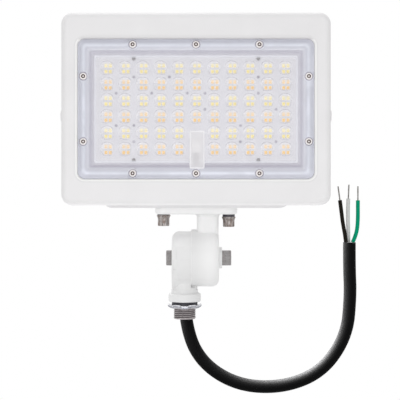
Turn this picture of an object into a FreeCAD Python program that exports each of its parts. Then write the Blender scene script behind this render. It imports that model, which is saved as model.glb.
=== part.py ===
import FreeCAD
import Part
import math
import os
import re

import Sketcher
from FreeCAD import Placement, Rotation, Vector

# Outdoor LED flood light: a die-cast head on a toothed knuckle with a half-inch threaded nipple and a supply cord.
# Millimetres. +Z is up and the lens faces -Y. The origin is on the nipple's axis, at the top of its free thread.

SIZES = {
    # Nipple, locknut and seal
    "thread_radius": 10.67,
    "free_thread": 9.8,
    "thread_pitch": 1.814,
    "thread_depth": 1.1,
    "thread_mouth": 0.8,
    "thread_chamfer": 0.7,
    "thread_start": 1.75,
    "nipple_shank": 10.2,
    "nipple_bore": 7.9,
    "nipple_spigot": 9.6,
    "nipple_socket": 7.0,
    "locknut_gap": 0.5,
    "locknut_thickness": 2.9,
    "locknut_radius": 13.8,
    "locknut_reach": 16.3,
    "locknut_lug_width": 6.0,
    "locknut_lug_rise": 1.5,
    "locknut_lug_root": 1.3,
    "seal_thickness": 3.4,
    "seal_radius": 12.3,
    # Lower knuckle half
    "collar_radius": 15.55,
    "collar_height": 7.8,
    "collar_chamfer": 0.8,
    "shoulder_radius": 12.75,
    "shoulder_height": 3.5,
    "neck_radius": 12.2,
    "neck_height": 2.4,
    "pivot_height": 48.6,
    "lower_disc_radius": 25.5,
    "lower_disc_width": 18.4,
    "lower_disc_round": 7.0,
    "arm_foot": 6.5,
    "arm_head": 22.9,
    "arm_drop": 10.2,
    "flat_left": 8.0,
    "flat_height": 12.1,
    "flat_ledge": 1.0,
    "flat_lean": 3.1,
    "bore_lap": 3.6,
    # Tilt joint
    "split_gap": 0.4,
    "tooth_ring": 19.5,
    "tooth_length": 4.0,
    "tooth_depth": 0.9,
    "tooth_width": 1.9,
    "hub_radius": 9.0,
    "chamber_radius": 18.0,
    "chamber_depth": 10.0,
    "wireway_radius": 7.0,
    "pivot_radius": 4.75,
    "fit_clearance": 0.05,
    "pivot_hex": 14.1,
    "pivot_head": 5.5,
    "pivot_nut_height": 8.8,
    "pivot_end_recess": 0.9,
    # Upper knuckle half
    "upper_disc_radius": 27.4,
    "upper_disc_width": 26.2,
    "upper_disc_round": 6.5,
    "pivot_boss_radius": 10.2,
    "pivot_boss_height": 3.0,
    "stem_inset": 5.1,
    "stem_width": 20.7,
    "stem_depth": 24.0,
    "stem_round": 5.0,
    "stem_fillet": 3.0,
    "arm_reach": 42.1,
    "bracket_width": 78.4,
    "bracket_overhang": 6.0,
    "bracket_thickness": 5.3,
    "bracket_corner": 9.0,
    "bracket_edge": 2.5,
    "bracket_seal": 1.0,
    "bolt_spacing": 62.6,
    "bolt_radius": 3.17,
    "bolt_grip": 8.0,
    "bolt_hex": 11.0,
    "bolt_flange": 6.6,
    "bolt_flange_height": 1.6,
    "bolt_head": 9.6,
    "washer_radius": 5.9,
    "left_washer": 0.8,
    "right_washer": 2.6,
    # Head casting
    "head_width": 251.8,
    "head_height": 180.0,
    "head_offset": 11.0,
    "head_front": 39.0,
    "head_corner": 10.5,
    "rim_depth": 22.0,
    "front_round": 4.5,
    "casting_wall": 3.5,
    "bezel_side": 15.1,
    "bezel_end": 24.3,
    "window_corner": 7.0,
    "window_lip": 1.2,
    "seat_depth": 8.0,
    "seat_width": 8.0,
    "cavity_corner": 4.0,
    "board_recess": 4.0,
    "floor_thickness": 5.0,
    "fin_pitch": 12.2,
    "fin_thickness": 2.2,
    "fin_depth": 20.0,
    "side_boss_radius": 5.2,
    "side_boss_rise": 1.2,
    "side_boss_depth": 12.0,
    "side_boss_drop": 6.0,
    "side_boss_back": 8.8,
    # Driver box
    "box_side": 37.0,
    "box_shoulder": 86.7,
    "box_depth": 36.0,
    "box_corner": 10.0,
    "box_drop": 2.7,
    "box_wall": 4.0,
    "box_sole": 10.0,
    "cover_boss_radius": 5.0,
    "cover_boss_inset": 7.5,
    "cover_seal": 1.0,
    "cover_thickness": 3.0,
    # Lens cover
    "lens_gap": 0.4,
    "lens_seal": 1.5,
    "lens_flange": 3.0,
    "bead_width": 9.0,
    "bead_height": 2.0,
    "bead_round": 1.7,
    "screw_inset": 5.6,
    "optic_side": 15.55,
    "optic_end": 14.25,
    "optic_thickness": 2.5,
    "optic_wall": 2.5,
    "optic_slope": 45.0,
    "chip_gap": 0.5,
    "dome_radius": 5.9,
    "dome_height": 4.0,
    "dome_margin_x": 11.85,
    "dome_margin_z": 13.45,
    "wire_cover_width": 13.2,
    "wire_cover_height": 33.7,
    "wire_cover_lap": 3.4,
    "wire_cover_rise": 5.0,
    "wire_cover_wall": 1.5,
    # Screws
    "screw_pitch_x": 58.7,
    "screw_pitch_z": 60.9,
    "screw_radius": 1.5,
    "screw_head_radius": 3.0,
    "screw_head_height": 1.9,
    "screw_head_round": 1.1,
    "screw_socket": 1.3,
    "screw_socket_depth": 1.1,
    "screw_length": 7.0,
    "screw_clearance": 0.2,
    "floor_tap": 4.0,
    "floor_grip": 3.5,
    "counterbore": 0.8,
    # Board
    "board_gap": 2.7,
    "board_thickness": 1.6,
    "board_screw_pitch_x": 117.0,
    "board_screw_inset": 3.85,
    "chip_width": 2.6,
    "chip_height": 0.7,
    "chip_pitch_x": 4.2,
    "chip_pitch_z": 5.6,
    "connector_width": 8.0,
    "connector_length": 12.0,
    "connector_height": 3.4,
    "lead_radius": 0.9,
    "lead_pitch": 3.0,
    "lead_hole": 3.2,
    "lead_bend": 2.2,
    "lead_edge": 4.7,
    # Driver
    "driver_side": 31.0,
    "driver_headroom": 18.0,
    "driver_rear": 3.0,
    "driver_corner": 5.0,
    "driver_lift": 6.0,
    "driver_ear": 9.0,
    "driver_ear_thickness": 3.0,
    # Colour selector
    "selector_x": 52.0,
    "selector_z": 24.0,
    "selector_recess_width": 24.0,
    "selector_recess_height": 13.0,
    "selector_recess_depth": 1.5,
    "selector_slot_width": 9.0,
    "selector_slot_height": 3.6,
    "selector_body_width": 17.0,
    "selector_body_height": 9.0,
    "selector_body_depth": 6.0,
    "selector_body_corner": 1.2,
    "selector_track_depth": 2.0,
    "knob_width": 3.4,
    "knob_height": 3.0,
    "knob_rise": 0.9,
    "slide_clearance": 0.3,
    "plug_thickness": 2.4,
    "plug_hollow": 1.4,
    "plug_tab": 1.8,
    # Cord
    "cord_radius": 6.0,
    "cord_clearance": 0.15,
    "bushing_length": 8.0,
    "wire_radius": 1.75,
    "strand_radius": 0.7,
    "strand_length": 13.5,
    "conductor_radius": 1.75,
    "conductor_pitch": 4.4,
}

DOME_COLUMNS = 11
DOME_ROWS = 6
DOME_ROWS_FULL = 4
TOOTH_COUNT = 36
LUG_COUNT = 6
THREAD_GROOVES = 5

PLACES = {
    # Heights
    "locknut_top": "locknut_gap + locknut_thickness",
    "collar_bottom": "locknut_top + seal_thickness",
    "collar_top": "collar_bottom + collar_height",
    "shoulder_top": "collar_top + shoulder_height",
    "neck_top": "shoulder_top + neck_height",
    "bore_top": "pivot_height - chamber_radius + bore_lap",
    "bracket_depth": "stem_depth + 2 * bracket_overhang",
    "bracket_bottom": "pivot_height + arm_reach",
    "bracket_top": "bracket_bottom + bracket_thickness",
    "box_bottom": "bracket_top + bracket_seal",
    "box_height": "head_height + box_drop - box_shoulder",
    "head_bottom": "box_bottom + box_drop",
    "head_middle": "head_bottom + head_height / 2",
    "box_middle": "box_bottom + box_height / 2",
    # Places across, along X
    "split_lower": "lower_disc_width - neck_radius",
    "split_upper": "split_lower + split_gap",
    "upper_outer": "split_upper + upper_disc_width",
    "nut_seat": "upper_outer + pivot_boss_height",
    "stem_left": "split_upper + stem_inset",
    "stem_middle": "stem_left + stem_width / 2",
    # Depths, measured ahead of the knuckle's axis, along -Y
    "rim_back": "head_front - rim_depth",
    "seat_front": "head_front - seat_depth",
    "floor_front": "seat_front - board_recess",
    "floor_back": "floor_front - floor_thickness",
    "box_back": "floor_back - box_depth",
    "cover_front": "box_back - cover_seal",
    "cover_back": "cover_front - cover_thickness",
    "recess_floor": "cover_back + selector_recess_depth",
    "board_front": "floor_front + board_thickness",
    "chip_front": "board_front + chip_height",
    "optic_back": "chip_front + chip_gap",
    "optic_front": "optic_back + optic_thickness",
    "flange_back": "seat_front + lens_seal",
    "flange_front": "flange_back + lens_flange",
    "bead_front": "flange_front + bead_height",
    "screw_seat": "bead_front - counterbore",
    # Spans
    "window_width": "head_width - 2 * bezel_side",
    "window_height": "head_height - 2 * bezel_end",
    "box_width": "head_width - 2 * box_side",
    "optic_width": "window_width - 2 * optic_side",
    "optic_height": "window_height - 2 * optic_end",
    "dome_pitch_x": f"(optic_width - 2 * dome_margin_x) / {DOME_COLUMNS - 1}",
    "dome_pitch_z": f"(optic_height - 2 * dome_margin_z) / {DOME_ROWS - 1}",
    "wire_cover_drop": "optic_height / 2 + wire_cover_lap - wire_cover_height / 2",
    "board_width": "cavity_width - 2 * board_gap",
    "board_height": "cavity_height - 2 * board_gap",
    "board_screw_pitch_z": "optic_height - 2 * board_screw_inset",
    "driver_width": "box_width - 2 * driver_side",
    "driver_height": "box_height - box_sole - driver_lift - box_wall - driver_headroom",
    "driver_depth": "box_depth + cover_seal - selector_body_depth - driver_rear",
    "cavity_width": "window_width - 2 * seat_width",
    "cavity_height": "window_height - 2 * seat_width",
    "lens_width": "window_width - 2 * lens_gap",
    "lens_height": "window_height - 2 * lens_gap",
    "lens_corner": "window_corner - lens_gap",
    "screw_side": "window_width / 2 - screw_inset",
    "screw_top": "window_height / 2 - screw_inset",
    "screw_hole": "screw_radius + screw_clearance",
    "screw_pilot": "screw_radius + fit_clearance",
    "bolt_tap": "bolt_radius + fit_clearance",
    "feed_drop": "board_height / 2 - lead_edge",
    "cover_screw_x": "box_width / 2 - cover_boss_inset",
    "cover_screw_z": "box_height / 2 - cover_boss_inset",
    "upper_fin_gaps": "floor(box_width / fin_pitch)",
    "upper_fin_height": "head_bottom + head_height - casting_wall - box_bottom - box_height + box_wall / 2",
    "upper_fin_rise": "head_height / 2 - casting_wall - upper_fin_height / 2",
    "side_fin_outer": "head_width / 2 - casting_wall - fin_pitch / 2",
    "side_fin_gaps": "floor((side_fin_outer - box_width / 2 - fin_thickness) / fin_pitch)",
    "side_fin_height": "head_height - 2 * casting_wall",
    "driver_middle": "box_bottom + box_sole + driver_lift + driver_height / 2",
    "selector_middle_x": "head_offset + selector_x",
    "selector_middle_z": "box_middle + selector_z",
    "connector_low": "head_middle - wire_cover_drop + lead_hole - connector_length / 2",
    "bore_clearance": "pivot_radius + fit_clearance",
    "bolt_clearance": "bolt_radius + screw_clearance",
}

# Share of the shorter run that a cord's bend takes, how closely a tube's volume agrees with its length, and how
# closely two places agree, in millimetres
BEND_SHARE = 0.45
TUBE_TOLERANCE = 0.01
TOUCH = 1e-4

# Cord and wire routes, as (x, y, z) points from the object outwards
CORD_ROUTE = (
    (0.0, 0.0, 14.0),
    (0.0, 0.0, -13.3),
    (15.4, 0.0, -48.0),
    (49.7, 0.0, -72.9),
    (91.8, 0.0, -77.3),
    (130.5, 0.0, -60.1),
    (155.4, 0.0, -25.8),
    (159.6, 0.0, 13.5),
    (158.3, 0.0, 39.5),
    (158.3, 0.0, 63.5),
)
WIRE_ROUTES = {
    "black": ((155.4, -0.8, 63.5), (155.3, -0.8, 72.0), (152.9, -0.8, 88.0), (149.2, -0.8, 104.0)),
    "white": ((158.3, 2.6, 63.5), (158.2, 2.6, 77.0), (157.4, 2.6, 91.5), (157.2, 2.6, 105.5)),
    "green": (
        (161.2, -0.8, 63.5),
        (161.5, -0.8, 70.0),
        (165.0, -0.8, 79.0),
        (166.4, -0.8, 91.6),
        (166.8, -0.8, 103.9),
    ),
}

doc = FreeCAD.newDocument("flood_light")
nodes = {}


def fill_sheet(name, cells, shown):
    """Puts one named value on each row of a sheet."""
    sheet = doc.addObject("Spreadsheet::Sheet", name)
    for row, (alias, content) in enumerate(cells.items(), start=1):
        sheet.set(f"A{row}", alias)
        sheet.set(f"B{row}", shown(content))
        sheet.setAlias(f"B{row}", alias)
    return sheet


def formula(text):
    """Writes a size or a sum of sizes as the sheets' cells."""

    def cell(word):
        name = word.group()
        if name in SIZES:
            return "Sizes." + name
        return "Places." + name if name in PLACES else name

    return re.sub(r"[a-z][a-z_]+", cell, text)


sizes = fill_sheet("Sizes", SIZES, str)
places = fill_sheet("Places", PLACES, lambda text: "=" + formula(text))
doc.recompute()


def value(text):
    """The number that a size or a sum of sizes comes to."""
    return float(sizes.evalExpression(formula(text)))


def bind(feature, name, text):
    """Ties a property to the sheet."""
    feature.setExpression(name, formula(text))


def dimension(sketch, kind, ends, text):
    """Adds a constraint whose measure is tied to the sheet."""
    index = sketch.addConstraint(Sketcher.Constraint(kind, *ends, value(text)))
    bind(sketch, f"Constraints[{index}]", text)


def hold(sketch, geometry, point, x, y):
    """Sets a sketch point's place from the sketch's own origin."""
    for kind, axis, text in (("DistanceX", -2, x), ("DistanceY", -1, y)):
        if text == "0":
            sketch.addConstraint(Sketcher.Constraint("PointOnObject", geometry, point, axis))
        else:
            dimension(sketch, kind, (-1, 1, geometry, point), text)


def circle(sketch, radius, x="0", y="0"):
    """Draws a circle about a point."""
    centre = Vector(value(x), value(y), 0)
    index = sketch.addGeometry(Part.Circle(centre, Vector(0, 0, 1), value(radius)))
    hold(sketch, index, 3, x, y)
    dimension(sketch, "Radius", (index,), radius)


def polygon(sketch, corners):
    """Draws a closed outline of straight lines through the corners."""
    points = [Vector(value(x), value(y), 0) for x, y in corners]
    count = len(points)
    first = sketch.GeometryCount
    for i in range(count):
        sketch.addGeometry(Part.LineSegment(points[i], points[(i + 1) % count]))
    for i, (x, y) in enumerate(corners):
        sketch.addConstraint(Sketcher.Constraint("Coincident", first + i, 1, first + (i - 1) % count, 2))
        hold(sketch, first + i, 1, x, y)


def rectangle(sketch, width, height, x="0", y="0"):
    """Draws a rectangle about a point."""
    left, right = f"{x} - ({width}) / 2", f"{x} + ({width}) / 2"
    low, high = f"{y} - ({height}) / 2", f"{y} + ({height}) / 2"
    polygon(sketch, [(left, low), (right, low), (right, high), (left, high)])


def rounded(sketch, width, height, corner, x="0", y="0"):
    """Draws a rectangle with rounded corners about a point."""
    across, up, radius = value(width) / 2, value(height) / 2, value(corner)
    middle = Vector(value(x), value(y), 0)
    first = sketch.GeometryCount
    turns = ((1, -1), (1, 1), (-1, 1), (-1, -1))
    for quarter, (side, level) in enumerate(turns):
        centre = middle + Vector(side * (across - radius), level * (up - radius), 0)
        before = middle + Vector(turns[quarter - 1][0] * (across - radius), turns[quarter - 1][1] * (up - radius), 0)
        outward = (Vector(0, -1, 0), Vector(1, 0, 0), Vector(0, 1, 0), Vector(-1, 0, 0))[quarter]
        sketch.addGeometry(Part.LineSegment(before + outward * radius, centre + outward * radius))
        arc_circle = Part.Circle(centre, Vector(0, 0, 1), radius)
        start = (quarter - 1) * math.pi / 2
        sketch.addGeometry(Part.ArcOfCircle(arc_circle, start, start + math.pi / 2))
    for i in range(8):
        sketch.addConstraint(Sketcher.Constraint("Tangent", first + i, 2, first + (i + 1) % 8, 1))
    for i, way in ((0, "Horizontal"), (2, "Vertical"), (4, "Horizontal"), (6, "Vertical")):
        sketch.addConstraint(Sketcher.Constraint(way, first + i))
    for i in (3, 5, 7):
        sketch.addConstraint(Sketcher.Constraint("Equal", first + 1, first + i))
    dimension(sketch, "Radius", (first + 1,), corner)
    dimension(sketch, "DistanceX", (first + 6, 1, first + 2, 1), width)
    dimension(sketch, "DistanceY", (first, 1, first + 4, 1), height)
    dimension(sketch, "DistanceX", (-1, 1, first + 6, 1), f"{x} - ({width}) / 2")
    dimension(sketch, "DistanceY", (-1, 1, first, 1), f"{y} - ({height}) / 2")


def hexagon(sketch, flats):
    """Draws a hexagon about the sketch's origin with two level flats, sized across its flats."""
    reach = f"({flats}) / sqrt(3)"
    half = f"({flats}) / (2 * sqrt(3))"
    level = f"({flats}) / 2"
    polygon(
        sketch,
        [
            (f"-{half}", f"-{level}"),
            (half, f"-{level}"),
            (reach, "0"),
            (half, level),
            (f"-{half}", level),
            (f"-{reach}", "0"),
        ],
    )


class Piece:
    """A piece made feature by feature, in a body whose sketches lie on its own planes."""

    def __init__(self, label):
        self.body = doc.addObject("PartDesign::Body", label)
        self.body.Label = label
        self.planes = {feature.Role: feature for feature in self.body.Origin.OriginFeatures}
        self.count = 0

    def sketch(self, plane, x="0", y="0", lift="0"):
        """Starts a sketch on a plane, moved within it and lifted along its normal."""
        sketch = self.body.newObject("Sketcher::SketchObject", self.name("sketch"))
        sketch.AttachmentSupport = [(self.planes[plane + "_Plane"], "")]
        sketch.MapMode = "FlatFace"
        for axis, text in (("x", x), ("y", y), ("z", lift)):
            bind(sketch, "AttachmentOffset.Base." + axis, text)
        return sketch

    def front(self, lift):
        """Starts a sketch that faces forwards, about the head's middle."""
        return self.sketch("XZ", "head_offset", "head_middle", lift)

    def pivot(self, lift):
        """Starts a sketch square to the tilt axis, about that axis."""
        return self.sketch("YZ", "0", "pivot_height", lift)

    def name(self, word):
        self.count += 1
        return f"{self.body.Label}_{word}_{self.count}"

    def start(self, kind):
        """Starts a feature, and keeps the solid's volume before it."""
        self.before = self.body.Tip.Shape.Volume if self.body.Tip else 0.0
        return self.body.newObject("PartDesign::" + kind, self.name(kind.lower()))

    def settle(self, feature, grows=None):
        """Recomputes a new feature, checks that it changed the solid and makes it the tip."""
        self.body.Tip = feature
        doc.recompute()
        shape = feature.Shape
        if shape.isNull() or not feature.isValid():
            raise RuntimeError(f"{feature.Name} failed")
        if grows is not None and (shape.Volume - self.before) * (1 if grows else -1) <= 0:
            raise RuntimeError(f"{feature.Name} changed nothing")
        return feature

    def extrude(self, kind, sketch, length, reverse, grows, slope=None):
        feature = self.start(kind)
        feature.Profile = sketch
        feature.Reversed = reverse
        bind(feature, "Length", length)
        if slope:
            bind(feature, "TaperAngle", slope)
        return self.settle(feature, grows)

    def pad(self, sketch, length, reverse=False):
        return self.extrude("Pad", sketch, length, reverse, True)

    def pocket(self, sketch, length, reverse=False, slope=None):
        return self.extrude("Pocket", sketch, length, reverse, False, slope)

    def turn(self, kind, sketch, axis, grows):
        feature = self.start(kind)
        feature.Profile = sketch
        feature.ReferenceAxis = (sketch, [axis])
        feature.Angle = 360
        return self.settle(feature, grows)

    def revolve(self, sketch, axis="V_Axis"):
        return self.turn("Revolution", sketch, axis, True)

    def groove(self, sketch, axis="V_Axis"):
        return self.turn("Groove", sketch, axis, False)

    def ease(self, kind, size, chosen):
        """Rounds or chamfers the edges that the test picks out."""
        tip = self.body.Tip
        edges = [f"Edge{i}" for i, edge in enumerate(tip.Shape.Edges, start=1) if chosen(edge)]
        if not edges:
            raise RuntimeError(f"no edge to ease on {self.body.Label}")
        feature = self.start(kind)
        feature.Base = (tip, edges)
        bind(feature, "Radius" if kind == "Fillet" else "Size", size)
        return self.settle(feature)

    def round(self, size, chosen):
        return self.ease("Fillet", size, chosen)

    def chamfer(self, size, chosen):
        return self.ease("Chamfer", size, chosen)

    def repeat_line(self, feature, sketch, axis, length, count, backwards=False):
        pattern = self.start("LinearPattern")
        pattern.Originals = [feature]
        pattern.Direction = (sketch, [axis])
        pattern.Reversed = backwards
        pattern.Occurrences = count
        bind(pattern, "Length", length)
        return self.settle(pattern)

    def repeat_round(self, feature, sketch, count):
        pattern = self.start("PolarPattern")
        pattern.Originals = [feature]
        pattern.Axis = (sketch, ["N_Axis"])
        pattern.Angle = 360
        pattern.Occurrences = count
        return self.settle(pattern)

    def repeat_grid(self, feature, sketch, spans):
        """Repeats a feature along both axes of its sketch; each span is an axis, a length, a count and a way."""
        grid = self.start("MultiTransform")
        grid.Originals = [feature]
        steps = []
        for axis, length, count, backwards in spans:
            step = self.body.newObject("PartDesign::LinearPattern", self.name("step"))
            step.Direction = (sketch, [axis])
            step.Reversed = backwards
            step.Occurrences = count
            bind(step, "Length", length)
            steps.append(step)
        grid.Transformations = steps
        return self.settle(grid)

    def done(self):
        nodes[self.body.Label] = self.body
        return self.body


def near(number, text):
    """Whether a coordinate is at the place that the sheet gives."""
    return abs(number - value(text)) < TOUCH


def lies_at(edge, axis, text):
    """Whether an edge lies wholly in the plane where one coordinate has the place that the sheet gives."""
    low = getattr(edge.BoundBox, axis + "Min")
    high = getattr(edge.BoundBox, axis + "Max")
    return near(low, text) and near(high, text)


def group(label, shapes):
    """Makes one node of separate solids."""
    feature = doc.addObject("Part::Feature", label)
    feature.Label = label
    feature.Shape = Part.makeCompound(shapes)
    feature.Placement = Placement()
    nodes[label] = feature


def copies(shape, spots):
    """Copies a shape to each spot."""
    return [shape.translated(spot) for spot in spots]


def head_point(x, z, ahead):
    """A point of the head, from its middle and its distance ahead of the knuckle's axis."""
    return Vector(value("head_offset") + x, -ahead, value("head_middle") + z)


def lens_screw_places():
    """The ten lens screws, as sketch places from the head's middle."""
    rows = [(f"{i} * screw_pitch_x" if i else "0", f"{level} * screw_top") for i in (-1, 0, 1) for level in (1, -1)]
    sides = [(f"{i} * screw_side", f"{level} * screw_pitch_z / 2") for i in (-1, 1) for level in (1, -1)]
    return rows + sides


def board_screw_places():
    """The four board screws, as sketch places from the head's middle."""
    return [
        (f"{i} * board_screw_pitch_x / 2", f"{level} * board_screw_pitch_z / 2") for i in (-1, 1) for level in (1, -1)
    ]


def cover_screw_places():
    """The six rear cover screws, as sketch places from the driver box's middle."""
    return [(f"{i} * cover_screw_x" if i else "0", f"{level} * cover_screw_z") for i in (-1, 0, 1) for level in (1, -1)]


def driver_screw_places():
    """The two driver screws, as sketch places from the driver's middle."""
    return [(f"{i} * (driver_width + driver_ear) / 2", "0") for i in (-1, 1)]


def make_housing():
    """Die-cast body: bezel and window in front, fins and the driver box behind."""
    piece = Piece("housing")
    outline = piece.front("head_front")
    rounded(outline, "head_width", "head_height", "head_corner")
    piece.pad(outline, "rim_depth", reverse=True)
    piece.round("front_round", lambda edge: lies_at(edge, "Y", "-head_front"))
    window = piece.front("head_front")
    rounded(window, "window_width", "window_height", "window_corner")
    piece.pocket(window, "seat_depth")
    reach = value("window_width / 2")
    piece.chamfer(
        "window_lip",
        lambda edge: lies_at(edge, "Y", "-head_front")
        and edge.BoundBox.XMax <= value("head_offset") + reach + TOUCH
        and edge.BoundBox.XMin >= value("head_offset") - reach - TOUCH
        and abs(edge.CenterOfMass.z - value("head_middle")) <= value("window_height / 2") + TOUCH,
    )
    cavity = piece.front("seat_front")
    rounded(cavity, "cavity_width", "cavity_height", "cavity_corner")
    piece.pocket(cavity, "board_recess")
    channel = piece.front("rim_back")
    rounded(
        channel,
        "head_width - 2 * casting_wall",
        "head_height - 2 * casting_wall",
        "head_corner - casting_wall",
    )
    rounded(
        channel,
        "window_width + 2 * casting_wall",
        "window_height + 2 * casting_wall",
        "window_corner + casting_wall",
    )
    piece.pocket(channel, "rim_depth - casting_wall", reverse=True)
    back = piece.front("rim_back")
    rounded(
        back,
        "window_width + 2 * casting_wall",
        "window_height + 2 * casting_wall",
        "window_corner + casting_wall",
    )
    piece.pocket(back, "floor_back - rim_back", reverse=True)
    box = piece.sketch("XZ", "head_offset", "box_middle", "floor_back")
    rounded(box, "box_width", "box_height", "box_corner")
    piece.pad(box, "box_depth", reverse=True)
    inside = piece.sketch("XZ", "head_offset", "box_middle", "box_back")
    rounded(
        inside,
        "box_width - 2 * box_wall",
        "box_height - box_wall - box_sole",
        "box_corner - box_wall",
        y="(box_sole - box_wall) / 2",
    )
    piece.pocket(inside, "box_depth", reverse=True)
    posts = piece.sketch("XZ", "head_offset", "box_middle", "floor_back")
    for x, z in cover_screw_places():
        circle(posts, "cover_boss_radius", x, z)
    piece.pad(posts, "box_depth", reverse=True)
    cover_taps = piece.sketch("XZ", "head_offset", "box_middle", "box_back")
    for x, z in cover_screw_places():
        circle(cover_taps, "screw_pilot", x, z)
    piece.pocket(cover_taps, "screw_length + screw_radius", reverse=True)
    driver_taps = piece.sketch("XZ", "head_offset", "driver_middle", "floor_back")
    for x, z in driver_screw_places():
        circle(driver_taps, "screw_pilot", x, z)
    piece.pocket(driver_taps, "floor_tap", reverse=True)
    lens_taps = piece.front("seat_front")
    for x, z in lens_screw_places():
        circle(lens_taps, "screw_pilot", x, z)
    piece.pocket(lens_taps, "seat_front - floor_back - screw_radius / 2")
    board_taps = piece.front("floor_front")
    for x, z in board_screw_places():
        circle(board_taps, "screw_pilot", x, z)
    piece.pocket(board_taps, "floor_tap")
    feed = piece.front("floor_front")
    circle(feed, "lead_hole", y="-feed_drop")
    piece.pocket(feed, "floor_thickness")
    sole = piece.sketch("XY", "head_offset", "0", "box_bottom")
    for side in (-1, 1):
        circle(sole, "bolt_tap", x=f"{side} * bolt_spacing / 2")
    piece.pocket(sole, "bolt_grip + bolt_radius / 3", reverse=True)
    wireway = piece.sketch("XY", "stem_middle", "0", "box_bottom")
    circle(wireway, "wireway_radius")
    piece.pocket(wireway, "box_sole", reverse=True)
    for side in (-1, 1):
        outer = f"head_offset + {side} * (head_width / 2 + side_boss_rise)"
        boss = piece.sketch("YZ", "-rim_back - side_boss_back", "head_middle - side_boss_drop", outer)
        circle(boss, "side_boss_radius")
        piece.pad(boss, "side_boss_depth + side_boss_rise", reverse=side > 0)
    for start, height, rise, gaps in (
        ("-upper_fin_gaps * fin_pitch / 2", "upper_fin_height", "upper_fin_rise", "upper_fin_gaps"),
        ("-side_fin_outer", "side_fin_height", "0", "side_fin_gaps"),
        ("side_fin_outer - side_fin_gaps * fin_pitch", "side_fin_height", "0", "side_fin_gaps"),
    ):
        fin = piece.front("floor_back")
        rectangle(fin, "fin_thickness", height, x=start, y=rise)
        first = piece.pad(fin, "fin_depth", reverse=True)
        piece.repeat_line(first, fin, "H_Axis", f"{gaps} * fin_pitch", int(value(gaps)) + 1)
    piece.done()


def make_lens_cover():
    """Clear cover: flange with a raised bead, a sunk optic plate with domes, and a raised block over the wires."""
    piece = Piece("lens_cover")
    flange = piece.front("flange_back")
    rounded(flange, "lens_width", "lens_height", "lens_corner")
    piece.pad(flange, "lens_flange")
    well = piece.front("optic_back")
    rounded(well, "optic_width + 2 * optic_wall", "optic_height + 2 * optic_wall", "cavity_corner")
    piece.pad(well, "flange_front - optic_back")
    sunk = piece.front("optic_front")
    rounded(sunk, "optic_width", "optic_height", "cavity_corner")
    piece.pocket(sunk, "flange_front - optic_front", reverse=True, slope="optic_slope")
    bead = piece.front("flange_front")
    outer = "screw_inset - lens_gap - bead_width / 2"
    rounded(bead, f"lens_width - 2 * ({outer})", f"lens_height - 2 * ({outer})", f"lens_corner - ({outer})")
    inner = "screw_inset - lens_gap + bead_width / 2"
    rounded(bead, f"lens_width - 2 * ({inner})", f"lens_height - 2 * ({inner})", "cavity_corner / 2")
    piece.pad(bead, "bead_height")
    piece.round("bead_round", lambda edge: lies_at(edge, "Y", "-bead_front"))
    block = piece.front("optic_front")
    rounded(block, "wire_cover_width", "wire_cover_height", "wire_cover_wall", y="-wire_cover_drop")
    piece.pad(block, "wire_cover_rise")
    hollow = piece.front("optic_back")
    rounded(
        hollow,
        "wire_cover_width - 2 * wire_cover_wall",
        "wire_cover_height - 2 * wire_cover_wall",
        "wire_cover_wall / 2",
        y="-wire_cover_drop",
    )
    piece.pocket(hollow, "optic_thickness + wire_cover_rise - wire_cover_wall", reverse=True)
    pits = piece.front("optic_back")
    for x, z in board_screw_places():
        circle(pits, "screw_head_radius + lens_gap", x, z)
    piece.pocket(pits, "screw_head_height - chip_height - chip_gap + lens_gap", reverse=True)
    holes = piece.front("bead_front")
    for x, z in lens_screw_places():
        circle(holes, "screw_hole", x, z)
    piece.pocket(holes, "lens_flange + bead_height")
    sinks = piece.front("bead_front")
    for x, z in lens_screw_places():
        circle(sinks, "screw_head_radius + screw_clearance", x, z)
    piece.pocket(sinks, "counterbore")
    half_width = (DOME_COLUMNS - 1) / 2
    half_height = (DOME_ROWS - 1) / 2
    side_columns = DOME_COLUMNS // 2
    low_row = half_height - DOME_ROWS_FULL
    blocks = (
        (-half_width, half_height, DOME_COLUMNS, DOME_ROWS_FULL),
        (-half_width, low_row, side_columns, DOME_ROWS - DOME_ROWS_FULL),
        (1, low_row, side_columns, DOME_ROWS - DOME_ROWS_FULL),
    )
    for column, row, columns, rows in blocks:
        x, z = f"{column} * dome_pitch_x", f"{row} * dome_pitch_z"
        dome = piece.sketch("XY", f"head_offset + {x}", "-optic_front", f"head_middle + {z}")
        sphere = "(dome_radius * dome_radius + dome_height * dome_height) / (2 * dome_height)"
        draw_dome(dome, sphere)
        cap = piece.revolve(dome)
        grid = piece.front("optic_front")
        circle(grid, "dome_radius")
        piece.repeat_grid(
            cap,
            grid,
            [
                ("H_Axis", f"{columns - 1} * dome_pitch_x", columns, False),
                ("V_Axis", f"{rows - 1} * dome_pitch_z", rows, True),
            ],
        )
    piece.done()


def draw_dome(sketch, sphere):
    """Draws half a dome's section: the base line, the axis and the arc of a sphere between them."""
    base, rise, radius = value("dome_radius"), value("dome_height"), value(sphere)
    centre = Vector(0, radius - rise, 0)
    low = math.asin(base / radius)
    axis = sketch.addGeometry(Part.LineSegment(Vector(0, 0, 0), Vector(0, -rise, 0)))
    arc_circle = Part.Circle(centre, Vector(0, 0, 1), radius)
    arc = sketch.addGeometry(Part.ArcOfCircle(arc_circle, -math.pi / 2, -math.pi / 2 + low))
    line = sketch.addGeometry(Part.LineSegment(Vector(base, 0, 0), Vector(0, 0, 0)))
    for first, last in ((axis, arc), (arc, line), (line, axis)):
        sketch.addConstraint(Sketcher.Constraint("Coincident", first, 2, last, 1))
    hold(sketch, axis, 1, "0", "0")
    hold(sketch, axis, 2, "0", "-dome_height")
    hold(sketch, line, 1, "dome_radius", "0")
    sketch.addConstraint(Sketcher.Constraint("PointOnObject", arc, 3, -2))


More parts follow.
